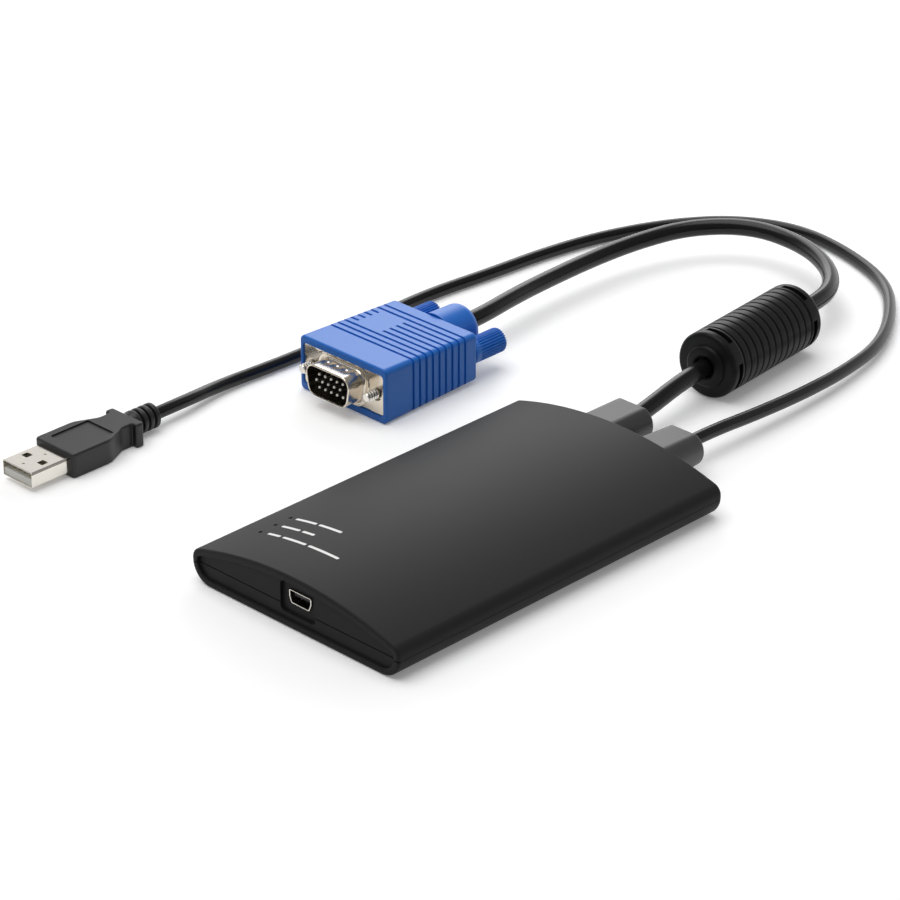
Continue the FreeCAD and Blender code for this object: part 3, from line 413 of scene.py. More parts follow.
def carve(piece, shapes, operation="DIFFERENCE"):
    """Take closed forms out of a piece, add them to it, or keep what lies in them."""
    helpers = []
    for shape in shapes:
        helper = raw_object("helper", [shape])
        cut = piece.modifiers.new("carve", "BOOLEAN")
        cut.operation = operation
        cut.solver = "EXACT"
        cut.object = helper
        helpers.append(helper)
    apply_modifiers(piece)
    for helper in helpers:
        mesh = helper.data
        bpy.data.objects.remove(helper)
        bpy.data.meshes.remove(mesh)


def settle(piece, material, nodes, body=BODY, angle=35.0):
    """Shade a piece, give it its finish and put it in place of its plain solids."""
    if piece.type == "MESH":
        piece.data.shade_smooth()
        piece.data.set_sharp_from_angle(angle=math.radians(angle))
        weighted = piece.modifiers.new("weighted", "WEIGHTED_NORMAL")
        weighted.keep_sharp = True
        apply_modifiers(piece)
    piece.data.materials.clear()
    piece.data.materials.append(material)
    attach(piece, body)
    if nodes:
        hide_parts(*nodes)
    return piece


# Nodes
def feed(tree, socket, value):
    """Link a socket to another one, or set it to a plain value."""
    if isinstance(value, bpy.types.NodeSocket):
        tree.links.new(value, socket)
    else:
        socket.default_value = value


def maths(tree, operation, *values):
    """Math node on sockets or numbers."""
    node = tree.nodes.new("ShaderNodeMath")
    node.operation = operation
    for socket, value in zip(node.inputs, values):
        feed(tree, socket, value)
    return node.outputs[0]


def vector_maths(tree, operation, result, *values):
    """Vector Math node on sockets or vectors. Result is the name of its output."""
    node = tree.nodes.new("ShaderNodeVectorMath")
    node.operation = operation
    for socket, value in zip(node.inputs, values):
        feed(tree, socket, value)
    return node.outputs[result]


def scaled(tree, tone, factor):
    """A colour times a factor."""
    node = tree.nodes.new("ShaderNodeVectorMath")
    node.operation = "SCALE"
    tree.links.new(tone, node.inputs[0])
    tree.links.new(factor, node.inputs["Scale"])
    return node.outputs["Vector"]


def part(tree, vector, axis):
    """One coordinate of a vector."""
    split = tree.nodes.new("ShaderNodeSeparateXYZ")
    tree.links.new(vector, split.inputs[0])
    return split.outputs[axis]


def fade(tree, source, start, end, first, last):
    """Smooth step of a value from start to end, put out between first and last."""
    step = tree.nodes.new("ShaderNodeMapRange")
    step.interpolation_type = "SMOOTHSTEP"
    step.inputs["From Min"].default_value = start
    step.inputs["From Max"].default_value = end
    step.inputs["To Min"].default_value = first
    step.inputs["To Max"].default_value = last
    tree.links.new(source, step.inputs["Value"])
    return step.outputs["Result"]


def between(tree, share, first, last):
    """Straight step from first to last as share goes from 0 to 1."""
    return maths(tree, "MULTIPLY_ADD", share, last - first, first)


def noise(tree, place, scale, detail):
    """Noise of a place, about one half."""
    node = tree.nodes.new("ShaderNodeTexNoise")
    node.inputs["Detail"].default_value = detail
    tree.links.new(place, node.inputs["Vector"])
    feed(tree, node.inputs["Scale"], scale)
    return node.outputs["Fac"]


# Finishes: colour or its setting, roughness, grains per metre and their depth in millimetres
FINISHES = {
    "soft matte case": dict(tone="case", roughness=0.46, grain=5200.0, depth=0.012, specular=0.095),
    "black vinyl": dict(tone="black_vinyl", roughness=0.36, grain=2600.0, depth=0.02, specular=0.13),
    "boot vinyl": dict(tone="black_vinyl", roughness=0.45, grain=3400.0, depth=0.03, specular=0.8),
    "grip vinyl": dict(tone="black_vinyl", roughness=0.42, grain=2600.0, depth=0.02, specular=0.48),
    "lead jacket": dict(tone="jacket", roughness=0.22, grain=1200.0, depth=0.015, specular=0.32),
    "blue vinyl": dict(
        tone="blue_vinyl", roughness=0.36, grain=2800.0, depth=0.012, drift=0.08, specular=0.36
    ),
    "nickel plate": dict(
        tone="nickel", roughness=0.17, grain=900.0, depth=0.008, metal=1.0, drift=0.12, gloss=0.12
    ),
    "warm nickel": dict(
        tone="face", roughness=0.2, grain=1100.0, depth=0.008, metal=1.0, drift=0.12, gloss=0.1
    ),
    "screw plate with painted shade": dict(tone="nickel", roughness=0.25, grain=900.0, depth=0.004, metal=1.0),
    "pin plate with painted shade": dict(tone="pin", roughness=0.3, grain=2000.0, depth=0.004, metal=0.4),
    "gold plate": dict(tone="gold", roughness=0.2, grain=2000.0, depth=0.004, metal=1.0),
    "white ink": dict(tone="ink", roughness=0.5, grain=4000.0, depth=0.004),
    "board laminate": dict(tone=(0.012, 0.10, 0.04), roughness=0.3, grain=1500.0, depth=0.01),
    "chip moulding": dict(tone=(0.018, 0.018, 0.019), roughness=0.5, grain=6000.0, depth=0.01),
    "header nylon": dict(tone=(0.72, 0.69, 0.60), roughness=0.4, grain=2500.0, depth=0.01),
    "lamp resin": dict(tone=(0.62, 0.72, 0.58), roughness=0.25, grain=2500.0, depth=0.005),
    "wire jacket": dict(tone=(0.35, 0.04, 0.04), roughness=0.4, grain=2000.0, depth=0.01),
    "can metal": dict(tone=(0.70, 0.70, 0.71), roughness=0.3, grain=1800.0, depth=0.006, metal=1.0),
    "coil ferrite": dict(tone=(0.045, 0.045, 0.048), roughness=0.6, grain=5000.0, depth=0.02),
    "zinc plate": dict(tone=(0.42, 0.42, 0.43), roughness=0.35, grain=2500.0, depth=0.01, metal=1.0),
    "black insulator": dict(tone=(0.006, 0.006, 0.0065), roughness=0.5, grain=4000.0, depth=0.01),
    "white insulator": dict(tone=(0.78, 0.77, 0.72), roughness=0.4, grain=2500.0, depth=0.01),
}
# Finishes of the solids that stay as they are, by material slot
PLAIN_FINISHES = {
    "board_laminate": "board laminate",
    "chip_plastic": "chip moulding",
    "header_plastic": "header nylon",
    "lamp_resin": "lamp resin",
    "wire_jacket": "wire jacket",
    "can_metal": "can metal",
    "coil_ferrite": "coil ferrite",
    "plated_steel": "nickel plate",
    "screw_steel": "zinc plate",
    "contact_gold": "gold plate",
    "black_insulator": "black insulator",
    "white_insulator": "white insulator",
}
GRAIN_SOCKETS = {
    "INPUT": {
        "Colour": "Color", "Tint drift": "Float", "Roughness": "Float", "Gloss drift": "Float",
        "Grain per metre": "Float",
    },
    "OUTPUT": {"Colour": "Color", "Roughness": "Float", "Height": "Float"},
}
DRIFT_PER_METRE, BUMP = 45.0, 0.6


def moulded_grain():
    """Shared effect: fine grain of a moulding, with slow drifts in its tint and its gloss.

    The mean of grain and drift, less one half, shifts the colour's factor and the roughness.
    """
    if "moulded grain" in bpy.data.node_groups:
        return bpy.data.node_groups["moulded grain"]
    group = bpy.data.node_groups.new("moulded grain", "ShaderNodeTree")
    for way, sockets in GRAIN_SOCKETS.items():
        for name, kind in sockets.items():
            group.interface.new_socket(name=name, in_out=way, socket_type="NodeSocket" + kind)
    given = group.nodes.new("NodeGroupInput").outputs
    result = group.nodes.new("NodeGroupOutput").inputs
    place = group.nodes.new("ShaderNodeTexCoord").outputs["Object"]
    grain = noise(group, place, given["Grain per metre"], 3.0)
    drift = noise(group, place, DRIFT_PER_METRE, 2.0)
    mean = maths(group, "MULTIPLY_ADD", grain, 0.5, maths(group, "MULTIPLY", drift, 0.5))
    centred = maths(group, "SUBTRACT", mean, 0.5)
    tint = maths(group, "MULTIPLY_ADD", centred, given["Tint drift"], 1.0)
    gloss = maths(group, "MULTIPLY_ADD", centred, given["Gloss drift"], given["Roughness"])
    group.links.new(scaled(group, given["Colour"], tint), result["Colour"])
    group.links.new(gloss, result["Roughness"])
    group.links.new(grain, result["Height"])
    return group


def grained(name, tone, roughness, grain, depth, metal=0.0, drift=0.15, gloss=0.06, specular=0.5):
    """New material on the shared grain."""
    if isinstance(tone, str):
        tone = getattr(bpy.context.scene.adapter_finishes, tone)
    material = bpy.data.materials.new(name)
    material.use_nodes = True
    material.diffuse_color = (*tone, 1.0)
    tree = material.node_tree
    shader = tree.nodes["Principled BSDF"].inputs
    shader["Metallic"].default_value = metal
    shader["Specular IOR Level"].default_value = specular
    effect = tree.nodes.new("ShaderNodeGroup")
    effect.node_tree = moulded_grain()
    effect.inputs["Colour"].default_value = (*tone, 1.0)
    effect.inputs["Tint drift"].default_value = drift
    effect.inputs["Roughness"].default_value = roughness
    effect.inputs["Gloss drift"].default_value = gloss
    effect.inputs["Grain per metre"].default_value = grain
    bump = tree.nodes.new("ShaderNodeBump")
    bump.inputs["Strength"].default_value = BUMP
    bump.inputs["Distance"].default_value = depth * MM
    tree.links.new(effect.outputs["Colour"], shader["Base Color"])
    tree.links.new(effect.outputs["Roughness"], shader["Roughness"])
    tree.links.new(effect.outputs["Height"], bump.inputs["Height"])
    tree.links.new(bump.outputs["Normal"], shader["Normal"])


def finish(name):
    """Material of one finish, made once."""
    if name not in bpy.data.materials:
        grained(name, **FINISHES[name])
    return bpy.data.materials[name]


def paint_shade(material, factor):
    """Paint shade into a finish's colour: scale it by a factor that changes over the surface."""
    tree = material.node_tree
    tone = scaled(tree, tree.nodes["Group"].outputs["Colour"], factor)
    tree.links.new(tone, tree.nodes["Principled BSDF"].inputs["Base Color"])
    return material


def pin_painted_shade():
    """Pale plate with painted shade: full tone on the tip, painted shade darkening the shaft."""
    material = finish("pin plate with painted shade")
    tree = material.node_tree
    y = part(tree, tree.nodes.new("ShaderNodeTexCoord").outputs["Object"], "Y")
    full_tone_end, shade_start = [(PIN_TIP + step) * MM for step in PIN_SHADE_SPAN]
    # Painted shade: the shaft is darkened to a small share of the plate's colour, the tip keeps its full
    # tone
    return paint_shade(material, fade(tree, y, full_tone_end, shade_start, 1.0, PIN_PAINTED_SHADE))


def thread_painted_shade():
    """Nickel plate with painted shade in the thread's hollows, by the distance from the nearer screw's
    axis.

    The tip is left without painted shade and keeps the plate's full tone.
    """
    material = finish("screw plate with painted shade")
    tree = material.node_tree
    place = tree.nodes.new("ShaderNodeTexCoord").outputs["Object"]
    away = vector_maths(tree, "SUBTRACT", "Vector", place, (PLUG_X * MM, 0.0, PLUG_Z * MM))
    away = vector_maths(tree, "ABSOLUTE", "Vector", away)
    away = vector_maths(tree, "SUBTRACT", "Vector", away, (JACK_REACH * MM, 0.0, 0.0))
    away = vector_maths(tree, "MULTIPLY", "Vector", away, (1.0, 0.0, 1.0))
    reach = vector_maths(tree, "LENGTH", "Value", away)
    root = THREAD_RADIUS - THREAD_DEPTH
    crest = fade(tree, reach, root * MM, (root + THREAD_SHADE_FADE) * MM, 0.0, 1.0)
    tip = fade(tree, part(tree, place, "Y"), THREAD_TIP * MM, (THREAD_TIP + TIP_SHADE_FADE) * MM, 1.0, 0.0)
    # Painted shade: darker in the thread's hollows, full tone on the crests and at the tip
    light = maths(tree, "MAXIMUM", crest, tip)
    return paint_shade(material, fade(tree, light, 0.0, 1.0, THREAD_PAINTED_SHADE, 1.0))


# The box: inner edge of its rims, and the side of the blocks that part its covers
RIM_INNER_EDGE, BLOCK_SIDE = 0.25, 200.0
# Port: corners of its sleeve, hole and pocket, and the gap round the sleeve
PORT_CORNER, PORT_HOLE_CORNER, PORT_POCKET_CORNER, PORT_GAP = 0.55, 0.4, 1.4, 0.1
# Boots: place across, far end, and the radius and half height of the sides at root and end
BOOTS = {
    "video_boot": SimpleNamespace(x=-9.0, end=75.5, side=(5.4, 5.2), half=(5.1, 4.6)),
    "data_boot": SimpleNamespace(x=11.0, end=73.5, side=(5.7, 4.8), half=(5.4, 4.4)),
}
# Height of the boots, how far their side circles stand from the middle, and points round them
BOOT_Z, BOOT_OFFSET, BOOT_POINTS = 7.0, 2.2, 160
# Neck of a boot in the end wall, the gap round it, and the flange behind the wall
NECK, NECK_CORNER, NECK_GAP = (12.0, 6.8), 1.6, 0.1
BOOT_FLANGE, BOOT_FLANGE_CORNER, BOOT_FLANGE_THICK = (14.4, 8.6), 2.1, 1.8
# Pinholes over the status lights
LIGHT_X, LIGHT_ROWS, LIGHT_RADIUS = -27.1, (-44.0, -38.8, -33.6), 0.55
# Case screws, the bosses that take them, and their sunk heads and holes in the base
SCREWS = [(x, y) for x in (-29.1, 29.1) for y in (-50.5, 50.5)]
BOSS_RADIUS, BOSS_BASE, BOSS_TOP = 3.4, 1.0, 4.8
SINK_RADIUS, SINK_TOP, SCREW_HOLE = 2.15, 2.2, 1.15


def crown_radius(s):
    """Radius of the long arc that passes the middle of the crown and touches both shoulder arcs."""
    across = s.width / 2 - s.shoulder
    rise = s.height - s.shoulder - s.lower_corner - s.side_flat
    return (across**2 + rise**2) / (2 * rise) + s.shoulder


def crown_height(s, x):
    """Height of the crown over x, on its circle."""
    radius = crown_radius(s)
    return s.height - radius + np.sqrt(radius**2 - np.square(x))


def case_loop(s, inset):
    """Closed section of the box, drawn inwards by inset.

    Flat base, quarter circles at the lower corners, short upright sides, small shoulder arcs and
    one long arc over the top. All arcs keep their centres, so each inset is an even wall.
    """
    half, crown = s.width / 2, crown_radius(s)
    lower_x, upper_x = half - s.lower_corner, half - s.shoulder
    upper_z = s.lower_corner + s.side_flat
    lean = math.asin(upper_x / (crown - s.shoulder))
    lower, upper = s.lower_corner - inset, s.shoulder - inset
    return np.vstack(
        [
            arc_row((lower_x, s.lower_corner), lower, -QUARTER, 0, 24),
            arc_row((upper_x, upper_z), upper, 0, QUARTER - lean, 18),
            arc_row((0, s.height - crown), crown - inset, QUARTER - lean, QUARTER + lean, 98)[1:-1],
            arc_row((-upper_x, upper_z), upper, QUARTER + lean, math.pi, 18),
            arc_row((-lower_x, s.lower_corner), lower, math.pi, 3 * QUARTER, 24),
        ]
    )


def case_form(s):
    """Whole box: its section carried along Y, with a soft rim round each recessed end."""
    end, face = s.length / 2, s.length / 2 - s.rim_depth
    inner = round_rows(-end, -1, RIM_INNER_EDGE, 4) * (1, -1) + (0, s.rim_width)
    outer = round_rows(-end, -1, s.rim_edge, 9)[::-1]
    near = np.vstack([[(-face, s.rim_width)], inner, outer])
    rows = np.vstack([near, near[::-1] * (-1, 1)])
    return closed(along_y([case_loop(s, inset) for inset in rows[:, 1]], rows[:, 0]))


def slab(z0, z1):
    """Closed block wider and longer than the box, between two heights."""
    return block(box_corners(0, 0, BLOCK_SIDE, BLOCK_SIDE), z0, z1)


def seam_form(s):
    """Flat ring just under the parting line that leaves the box's core and its rims standing.

    Its inner corners are given for a quarter of the box, its outer ones past the box, and both are
    mirrored along the box and then turned about its middle.
    """
    side, end = s.width / 2 - s.seam_side, s.length / 2 - s.seam_depth
    rim_side, face = s.width / 2 - s.rim_width, s.length / 2 - s.rim_depth - s.seam_depth
    inner = np.array([(rim_side, -face), (rim_side, -end), (side, -end)])
    outer = np.array([(rim_side / 2, -s.length), (rim_side, -s.length), (s.width, -s.length)])
    loops = []
    for row in (inner, outer):
        right = np.vstack([row, row[::-1] * (1, -1)])
        loops.append(np.vstack([right, -right]))
    low, high = s.parting - s.seam_height, s.parting
    return closed(along_z([loops[0], loops[1], loops[1], loops[0]], [low, low, high, high]), ring=True)


def port_corners(s):
    """Section of the small port: upright upper sides, lower sides slanting in."""
    half, foot = s.width / 2, s.width / 2 - s.slant_in
    across = np.array((-foot, foot, half, half, -half, -half))
    up = np.array((0.0, 0.0, s.slant_rise, s.height, s.height, s.slant_rise))
    return np.stack([s.x + across, s.z + up], axis=1)


def end_cuts(case, port):
    """Forms that open the ends of the box: port pocket, port hole and both boot holes."""
    face, through = case.length / 2 - case.rim_depth, case.wall + PAST
    middle, high = (port.pocket_low + port.pocket_high) / 2, port.pocket_high - port.pocket_low
    pocket = box_corners(port.pocket_x, middle, 2 * port.pocket_half, high)
    hole = rounded_loop(port_corners(port), PORT_HOLE_CORNER, inset=-PORT_GAP)
    cuts = [
        prism(rounded_loop(pocket, PORT_POCKET_CORNER), -face - PAST, -face + port.pocket_depth),
        prism(hole, -face - PAST, -face + through),
    ]
    for boot in BOOTS.values():
        hole = rounded_loop(box_corners(boot.x, BOOT_Z, *NECK), NECK_CORNER, inset=-NECK_GAP)
        cuts.append(prism(hole, face - through, face + PAST))
    return cuts


class ADAPTER_OT_case(bpy.types.Operator):
    """Build the two covers of the box"""

    bl_idname = "adapter.case"
    bl_label = "Build case"

    def execute(self, context):
        case, port = sizes("adapter_case"), sizes("adapter_port")
        cavity_end = case.length / 2 - case.rim_depth - case.wall
        cavity = prism(case_loop(case, case.wall), -cavity_end, cavity_end)
        whole, ends = case_form(case), end_cuts(case, port)
        top = raw_object("top_cover_shell", [whole])
        carve(top, [slab(case.parting, BLOCK_SIDE)], "INTERSECT")
        inside, above = case.height / 2, case.height + PAST
        pinholes = [post(LIGHT_X, y, LIGHT_RADIUS, inside, above, 24) for y in LIGHT_ROWS]
        carve(top, [cavity] + ends + pinholes)
        settle(top, finish("soft matte case"), ["top_cover"])
        base = raw_object("bottom_cover_shell", [whole])
        carve(base, [slab(-BLOCK_SIDE, case.parting)], "INTERSECT")
        carve(base, [cavity, seam_form(case)] + ends)
        carve(base, [post(x, y, BOSS_RADIUS, BOSS_BASE, BOSS_TOP) for x, y in SCREWS], "UNION")
        sinks = [post(x, y, SINK_RADIUS, -PAST, SINK_TOP) for x, y in SCREWS]
        holes = [post(x, y, SCREW_HOLE, BOSS_BASE, BOSS_TOP + PAST) for x, y in SCREWS]
        carve(base, sinks + holes)
        settle(base, finish("soft matte case"), ["bottom_cover"])
        return {"FINISHED"}


class ADAPTER_OT_port(bpy.types.Operator):
    """Build the metal sleeve of the small port"""

    bl_idname = "adapter.port"
    bl_label = "Build port"

    def execute(self, context):
        case, port = sizes("adapter_case"), sizes("adapter_port")
        mouth = -case.length / 2 + case.rim_depth + port.pocket_depth - port.proud
        back = mouth + port.depth
        rows = sheet_rows(mouth, back, back - port.sheet, port.sheet)
        loops = [rounded_loop(port_corners(port), PORT_CORNER, inset, 6) for inset in rows[:, 1]]
        sleeve = raw_object("port_sleeve", [closed(along_y(loops, rows[:, 0]))])
        settle(sleeve, finish("nickel plate"), ["port_shell"])
        return {"FINISHED"}


class ADAPTER_OT_inner_parts(bpy.types.Operator):
    """Finish the solids that stay as they are"""

    bl_idname = "adapter.inner_parts"
    bl_label = "Finish inner parts"

    def execute(self, context):
        for part_record in frame["record"]["subparts"]:
            node = frame["nodes"][part_record["node"]]
            if not node.hide_render:
                node.data.materials.clear()
                node.data.materials.append(finish(PLAIN_FINISHES[part_record["material_slot"]]))
        return {"FINISHED"}


# Generic print: plain bars, each (start across, end across, place along the box)
PRINT_BARS = (
    (-25.0, -17.6, -33.6), (-16.6, -8.6, -33.6),
    (-24.6, -18.2, -38.8), (-17.2, -13.0, -38.8),
    (-24.2, -19.8, -44.0), (-18.8, -10.6, -44.0), (-9.6, 1.0, -44.0),
)
PRINT_HEIGHT, PRINT_ROUND, PRINT_SINK, PRINT_RISE = 0.95, 0.3, 0.05, 0.012


def print_bar(s, start, end, y):
    """Thin closed bar that follows the crown.

    Four-point sections stand along X, close together at the ends, where a quarter circle draws them in.
    """
    x = start + (end - start) * (1 - np.cos(np.linspace(0, math.pi, 48))) / 2
    short = np.clip(PRINT_ROUND - np.minimum(x - start, end - x), 0, PRINT_ROUND)
    half = PRINT_HEIGHT / 2 - PRINT_ROUND + np.sqrt(PRINT_ROUND**2 - short**2)
    top = crown_height(s, x)
    corners = [(-half, -PRINT_SINK), (half, -PRINT_SINK), (half, PRINT_RISE), (-half, PRINT_RISE)]
    return closed(np.stack([np.stack([x, y + out, top + up], axis=1) for out, up in corners], axis=1))


class ADAPTER_OT_print(bpy.types.Operator):
    """Print plain bars beside the lights"""

    bl_idname = "adapter.print"
    bl_label = "Print bars"

    def execute(self, context):
        case = sizes("adapter_case")
        marks = raw_object("case_print", [print_bar(case, *bar) for bar in PRINT_BARS])
        settle(marks, finish("white ink"), [])
        return {"FINISHED"}


# The leads: points of their routes, length along the curve, and the pieces on each
LEADS = {
    "video": SimpleNamespace(
        points=(
            (-9.0, 75.5, 7.0), (-9.3, 80.0, 7.3), (-11.2, 97.0, 9.45), (-13.0, 114.2, 9.7),
            (-17.2, 159.5, 9.7), (-20.1, 171.7, 9.6), (-29.6, 182.3, 9.8), (-45.0, 189.2, 10.1),
            (-63.5, 188.2, 10.6), (-76.5, 175.2, 10.5), (-82.0, 157.5, 9.7), (-83.5, 138.5, 9.3),
            (-82.8, 116.0, 9.2), (-80.9, 102.0, 9.6), (-79.4, 90.0, 9.4), (-79.4, 83.0, 9.25),
        ),
        length=256.3,
        pieces=(
            "video_boot_moulding", "ferrite_moulding", "ferrite_core", "video_hood_moulding",
            "video_front_plate", "video_rear_shell", "video_insulator", "video_contact_pins",
            "left_screw", "left_fluted_knob", "right_screw", "right_fluted_knob",
        ),
    ),
    "data": SimpleNamespace(
        points=(
            (11.0, 73.5, 7.0), (11.0, 84.5, 7.0), (11.2, 101.0, 5.8), (10.9, 122.0, 4.7),
            (9.0, 143.0, 3.8), (4.2, 164.0, 2.9), (-7.2, 183.3, 2.3), (-22.0, 199.5, 1.85),
            (-43.0, 208.2, 1.85), (-64.5, 211.5, 1.85), (-83.0, 203.0, 1.85), (-95.2, 187.0, 1.85),
            (-103.5, 166.5, 1.85), (-107.4, 145.3, 1.85), (-108.9, 123.5, 1.85), (-111.4, 101.6, 1.85),
            (-110.8, 81.0, 1.85), (-108.6, 60.2, 1.85), (-108.9, 38.8, 1.85), (-110.1, 18.1, 2.1),
            (-106.85, 1.65, 3.95), (-106.85, -9.35, 3.95),
        ),
        length=417.4,
        pieces=(
            "data_boot_moulding", "data_grip_moulding", "data_strain_relief", "data_tab",
            "data_plug_tongue", "data_plug_contacts",
        ),
    ),
}
# Ferrite sleeve on the video lead's straight run: two points on its axis, its start from the first of
# them, and points round it
SLEEVE_FROM, SLEEVE_TO = (-11.63, 99.5, 9.7), (-17.2, 159.5, 9.7)
SLEEVE_SETBACK, SLEEVE_POINTS = 8.0, 240
# Its dished end as rows (radius, place) from the bore out to the collar, and the round edge behind it
SLEEVE_HEAD = (
    (2.6, 2.0), (3.2, 2.0), (3.2, 0.3), (3.6, 0.0), (5.3, 0.0), (5.75, 0.2), (6.0, 0.6), (6.2, 1.2),
)
SLEEVE_EDGE = 1.2
# Its grooves: number, span of their middles, and places and shares of depth across one
SLEEVE_GROOVES, SLEEVE_SPAN = 12, 32.0
SLEEVE_STEPS = (-0.45, -0.34, -0.16, 0.0, 0.16, 0.34, 0.45)
SLEEVE_SHARES = (0.0, 0.08, 0.8, 1.0, 0.8, 0.08, 0.0)
# Its four curved slots near each end, with the turn of the first and the angle of each in degrees
SLOT_NEAR, SLOT_FAR, SLOT_EDGE, SLOT_DEPTH = 3.6, 5.2, 0.05, 1.7
SLOT_TURN, SLOT_ANGLE = 53.0, 50.0


def lead(name, points, radius, nodes):
    """Round lead along one smooth curve, with its route's points as control points."""
    curve = bpy.data.curves.new(name, "CURVE")
    curve.dimensions = "3D"
    curve.bevel_depth = radius * MM
    curve.bevel_resolution = 8
    curve.resolution_u = 16
    curve.use_fill_caps = True
    spline = curve.splines.new("NURBS")
    spline.points.add(len(points) - 1)
    places = np.column_stack([np.array(points) * MM, np.ones(len(points))])
    spline.points.foreach_set("co", places.ravel())
    spline.order_u = 3
    spline.use_endpoint_u = True
    piece = bpy.data.objects.new(name, curve)
    bpy.context.scene.collection.objects.link(piece)
    settle(piece, finish("lead jacket"), nodes)


class ADAPTER_OT_leads(bpy.types.Operator):
    """Lay both leads along their routes"""

    bl_idname = "adapter.leads"
    bl_label = "Lay leads"

    def execute(self, context):
        s = sizes("adapter_leads")
        for name, radius in (("video", s.video_radius), ("data", s.data_radius)):
            lead(name + "_lead", LEADS[name].points, radius, [name + "_cable"])
        return {"FINISHED"}


class ADAPTER_OT_declare_leads(bpy.types.Operator):
    """Read the sizes of both leads; nothing else is done with them"""

    bl_idname = "adapter.declare_leads"
    bl_label = "State leads"

    def execute(self, context):
        s = sizes("adapter_leads")
        return {"FINISHED"}


def boot_loop(x, side, half, inset):
    """Section of a boot: flat top and base, sides on circles about two points beside the middle."""
    side, half = side - inset, half - inset
    lean = math.asin(min(half / side, 1.0))
    right = arc_row((x + BOOT_OFFSET, BOOT_Z), side, -lean, lean, 25)
    left = arc_row((x - BOOT_OFFSET, BOOT_Z), side, math.pi - lean, math.pi + lean, 25)
    return even_loop(np.vstack([right, left]), BOOT_POINTS)


def boot_frame(x, size, corner):
    """Round-cornered section of a boot's neck or flange."""
    return even_loop(rounded_loop(box_corners(x, BOOT_Z, *size), corner), BOOT_POINTS)


class ADAPTER_OT_boots(bpy.types.Operator):
    """Build the boots that hold the leads in the box"""

    bl_idname = "adapter.boots"
    bl_label = "Build boots"

    def execute(self, context):
        case, s = sizes("adapter_case"), sizes("adapter_leads")
        face = case.length / 2 - case.rim_depth
        inner = face - case.wall - NECK_GAP
        for name, boot in BOOTS.items():
            neck = boot_frame(boot.x, NECK, NECK_CORNER)
            flange = boot_frame(boot.x, BOOT_FLANGE, BOOT_FLANGE_CORNER)
            rows = np.vstack([[(face, 0.0)], round_rows(boot.end, 1, s.boot_edge)])
            share = (rows[:, 0] - face) / (boot.end - face)
            side = np.interp(share, (0, 1), boot.side)
            half = np.interp(share, (0, 1), boot.half)
            loops = [flange, flange, neck, neck]
            loops += [boot_loop(boot.x, *row) for row in zip(side, half, rows[:, 1])]
            middle = np.array((boot.x, BOOT_Z))
            loops = [polar_loop(loop, middle, around(BOOT_POINTS)) for loop in loops]
            places = [inner - BOOT_FLANGE_THICK, inner, inner, face, *rows[:, 0]]
            piece = raw_object(name + "_moulding", [closed(along_y(loops, places))])
            settle(piece, finish("boot vinyl"), [name], angle=25.0)
        return {"FINISHED"}


def sleeve_rows(s):
    """Rows (radius, place) of the ferrite sleeve: dished collar, rounded end, grooved middle, and back."""
    radius, collar = s.sleeve_radius, SLEEVE_HEAD[-1][1]
    edge = round_profile(round_rows(collar, -1, SLEEVE_EDGE)[::-1], radius)
    band = [SLOT_NEAR - SLOT_EDGE, SLOT_NEAR + SLOT_EDGE, SLOT_FAR - SLOT_EDGE, SLOT_FAR + SLOT_EDGE]
    near = np.vstack([SLEEVE_HEAD, edge, [(radius, place) for place in band]])
    middle = s.sleeve_length / 2 + np.linspace(-0.5, 0.5, SLEEVE_GROOVES) * SLEEVE_SPAN
    place = (middle[:, None] + SLEEVE_STEPS).ravel()
    sunk = np.tile(SLEEVE_SHARES, SLEEVE_GROOVES) * s.groove_depth
    far = near[::-1] * (1, -1) + (0, s.sleeve_length)
    return np.vstack([near, np.stack([radius - sunk, place], axis=1), far])


def sleeve_points(s):
    """Ferrite sleeve about +Y from the origin: its rows turned, less four curved slots near each end."""
    radius, place = sleeve_rows(s).T[..., None]
    angle = around(SLEEVE_POINTS)
    from_end = np.minimum(place, s.sleeve_length - place)
    in_band = (from_end > SLOT_NEAR) & (from_end < SLOT_FAR)
    in_slot = (np.degrees(angle) - SLOT_TURN) % 90.0 < SLOT_ANGLE
    radius = radius - SLOT_DEPTH * (in_band & in_slot)
    return along_y(radius[..., None] * circle(angle), place[:, 0])


class ADAPTER_OT_ferrite(bpy.types.Operator):
    """Build the grooved ferrite sleeve on the video lead"""

    bl_idname = "adapter.ferrite"
    bl_label = "Build ferrite"

    def execute(self, context):
        start = np.array(SLEEVE_FROM)
        along = unit(SLEEVE_TO - start)
        across = unit(np.cross(along, (0, 0, 1)))
        points = sleeve_points(sizes("adapter_leads")) @ np.stack([across, along, np.cross(across, along)])
        sleeve = raw_object("ferrite_moulding", [closed(points + start + SLEEVE_SETBACK * along)])
        settle(sleeve, finish("black vinyl"), ["ferrite_sleeve"])
        return {"FINISHED"}


# The video plug: its middle, points round its sections, and its screws on both sides of the middle
PLUG_X, PLUG_Z, PLUG_POINTS, JACK_REACH = -79.4, 8.25, 420, 12.5
JACKS = {"left": PLUG_X - JACK_REACH, "right": PLUG_X + JACK_REACH}
# Hood's grooves: number, start of the sloping sides outside their width, and width of the slope
HOOD_GROOVES, GROOVE_OUT, GROOVE_SLOPE = 9, 0.06, 0.14
# Smooth pad among them: first and last groove that it breaks, its span from the hood's left, level faces
PAD_FIRST, PAD_LAST, PAD_START, PAD_END, PAD_LEVEL = 3, 6, 4.2, 14.2, 0.7
# Floor of the hood's pocket for the metal plate, and the pocket's size
POCKET_Y, POCKET_SIZE, POCKET_CORNER = 37.4, (31.2, 12.3), 1.1
# Hood's cable boot: radii at both ends, far end, fillet at its root, round end, height over the middle
HOOD_BOOT_ROOT, HOOD_BOOT_END, HOOD_BOOT_Y = 6.9, 6.8, 83.0
HOOD_BOOT_FILLET, HOOD_BOOT_EDGE, HOOD_BOOT_LIFT = 0.2, 2.6, 0.7
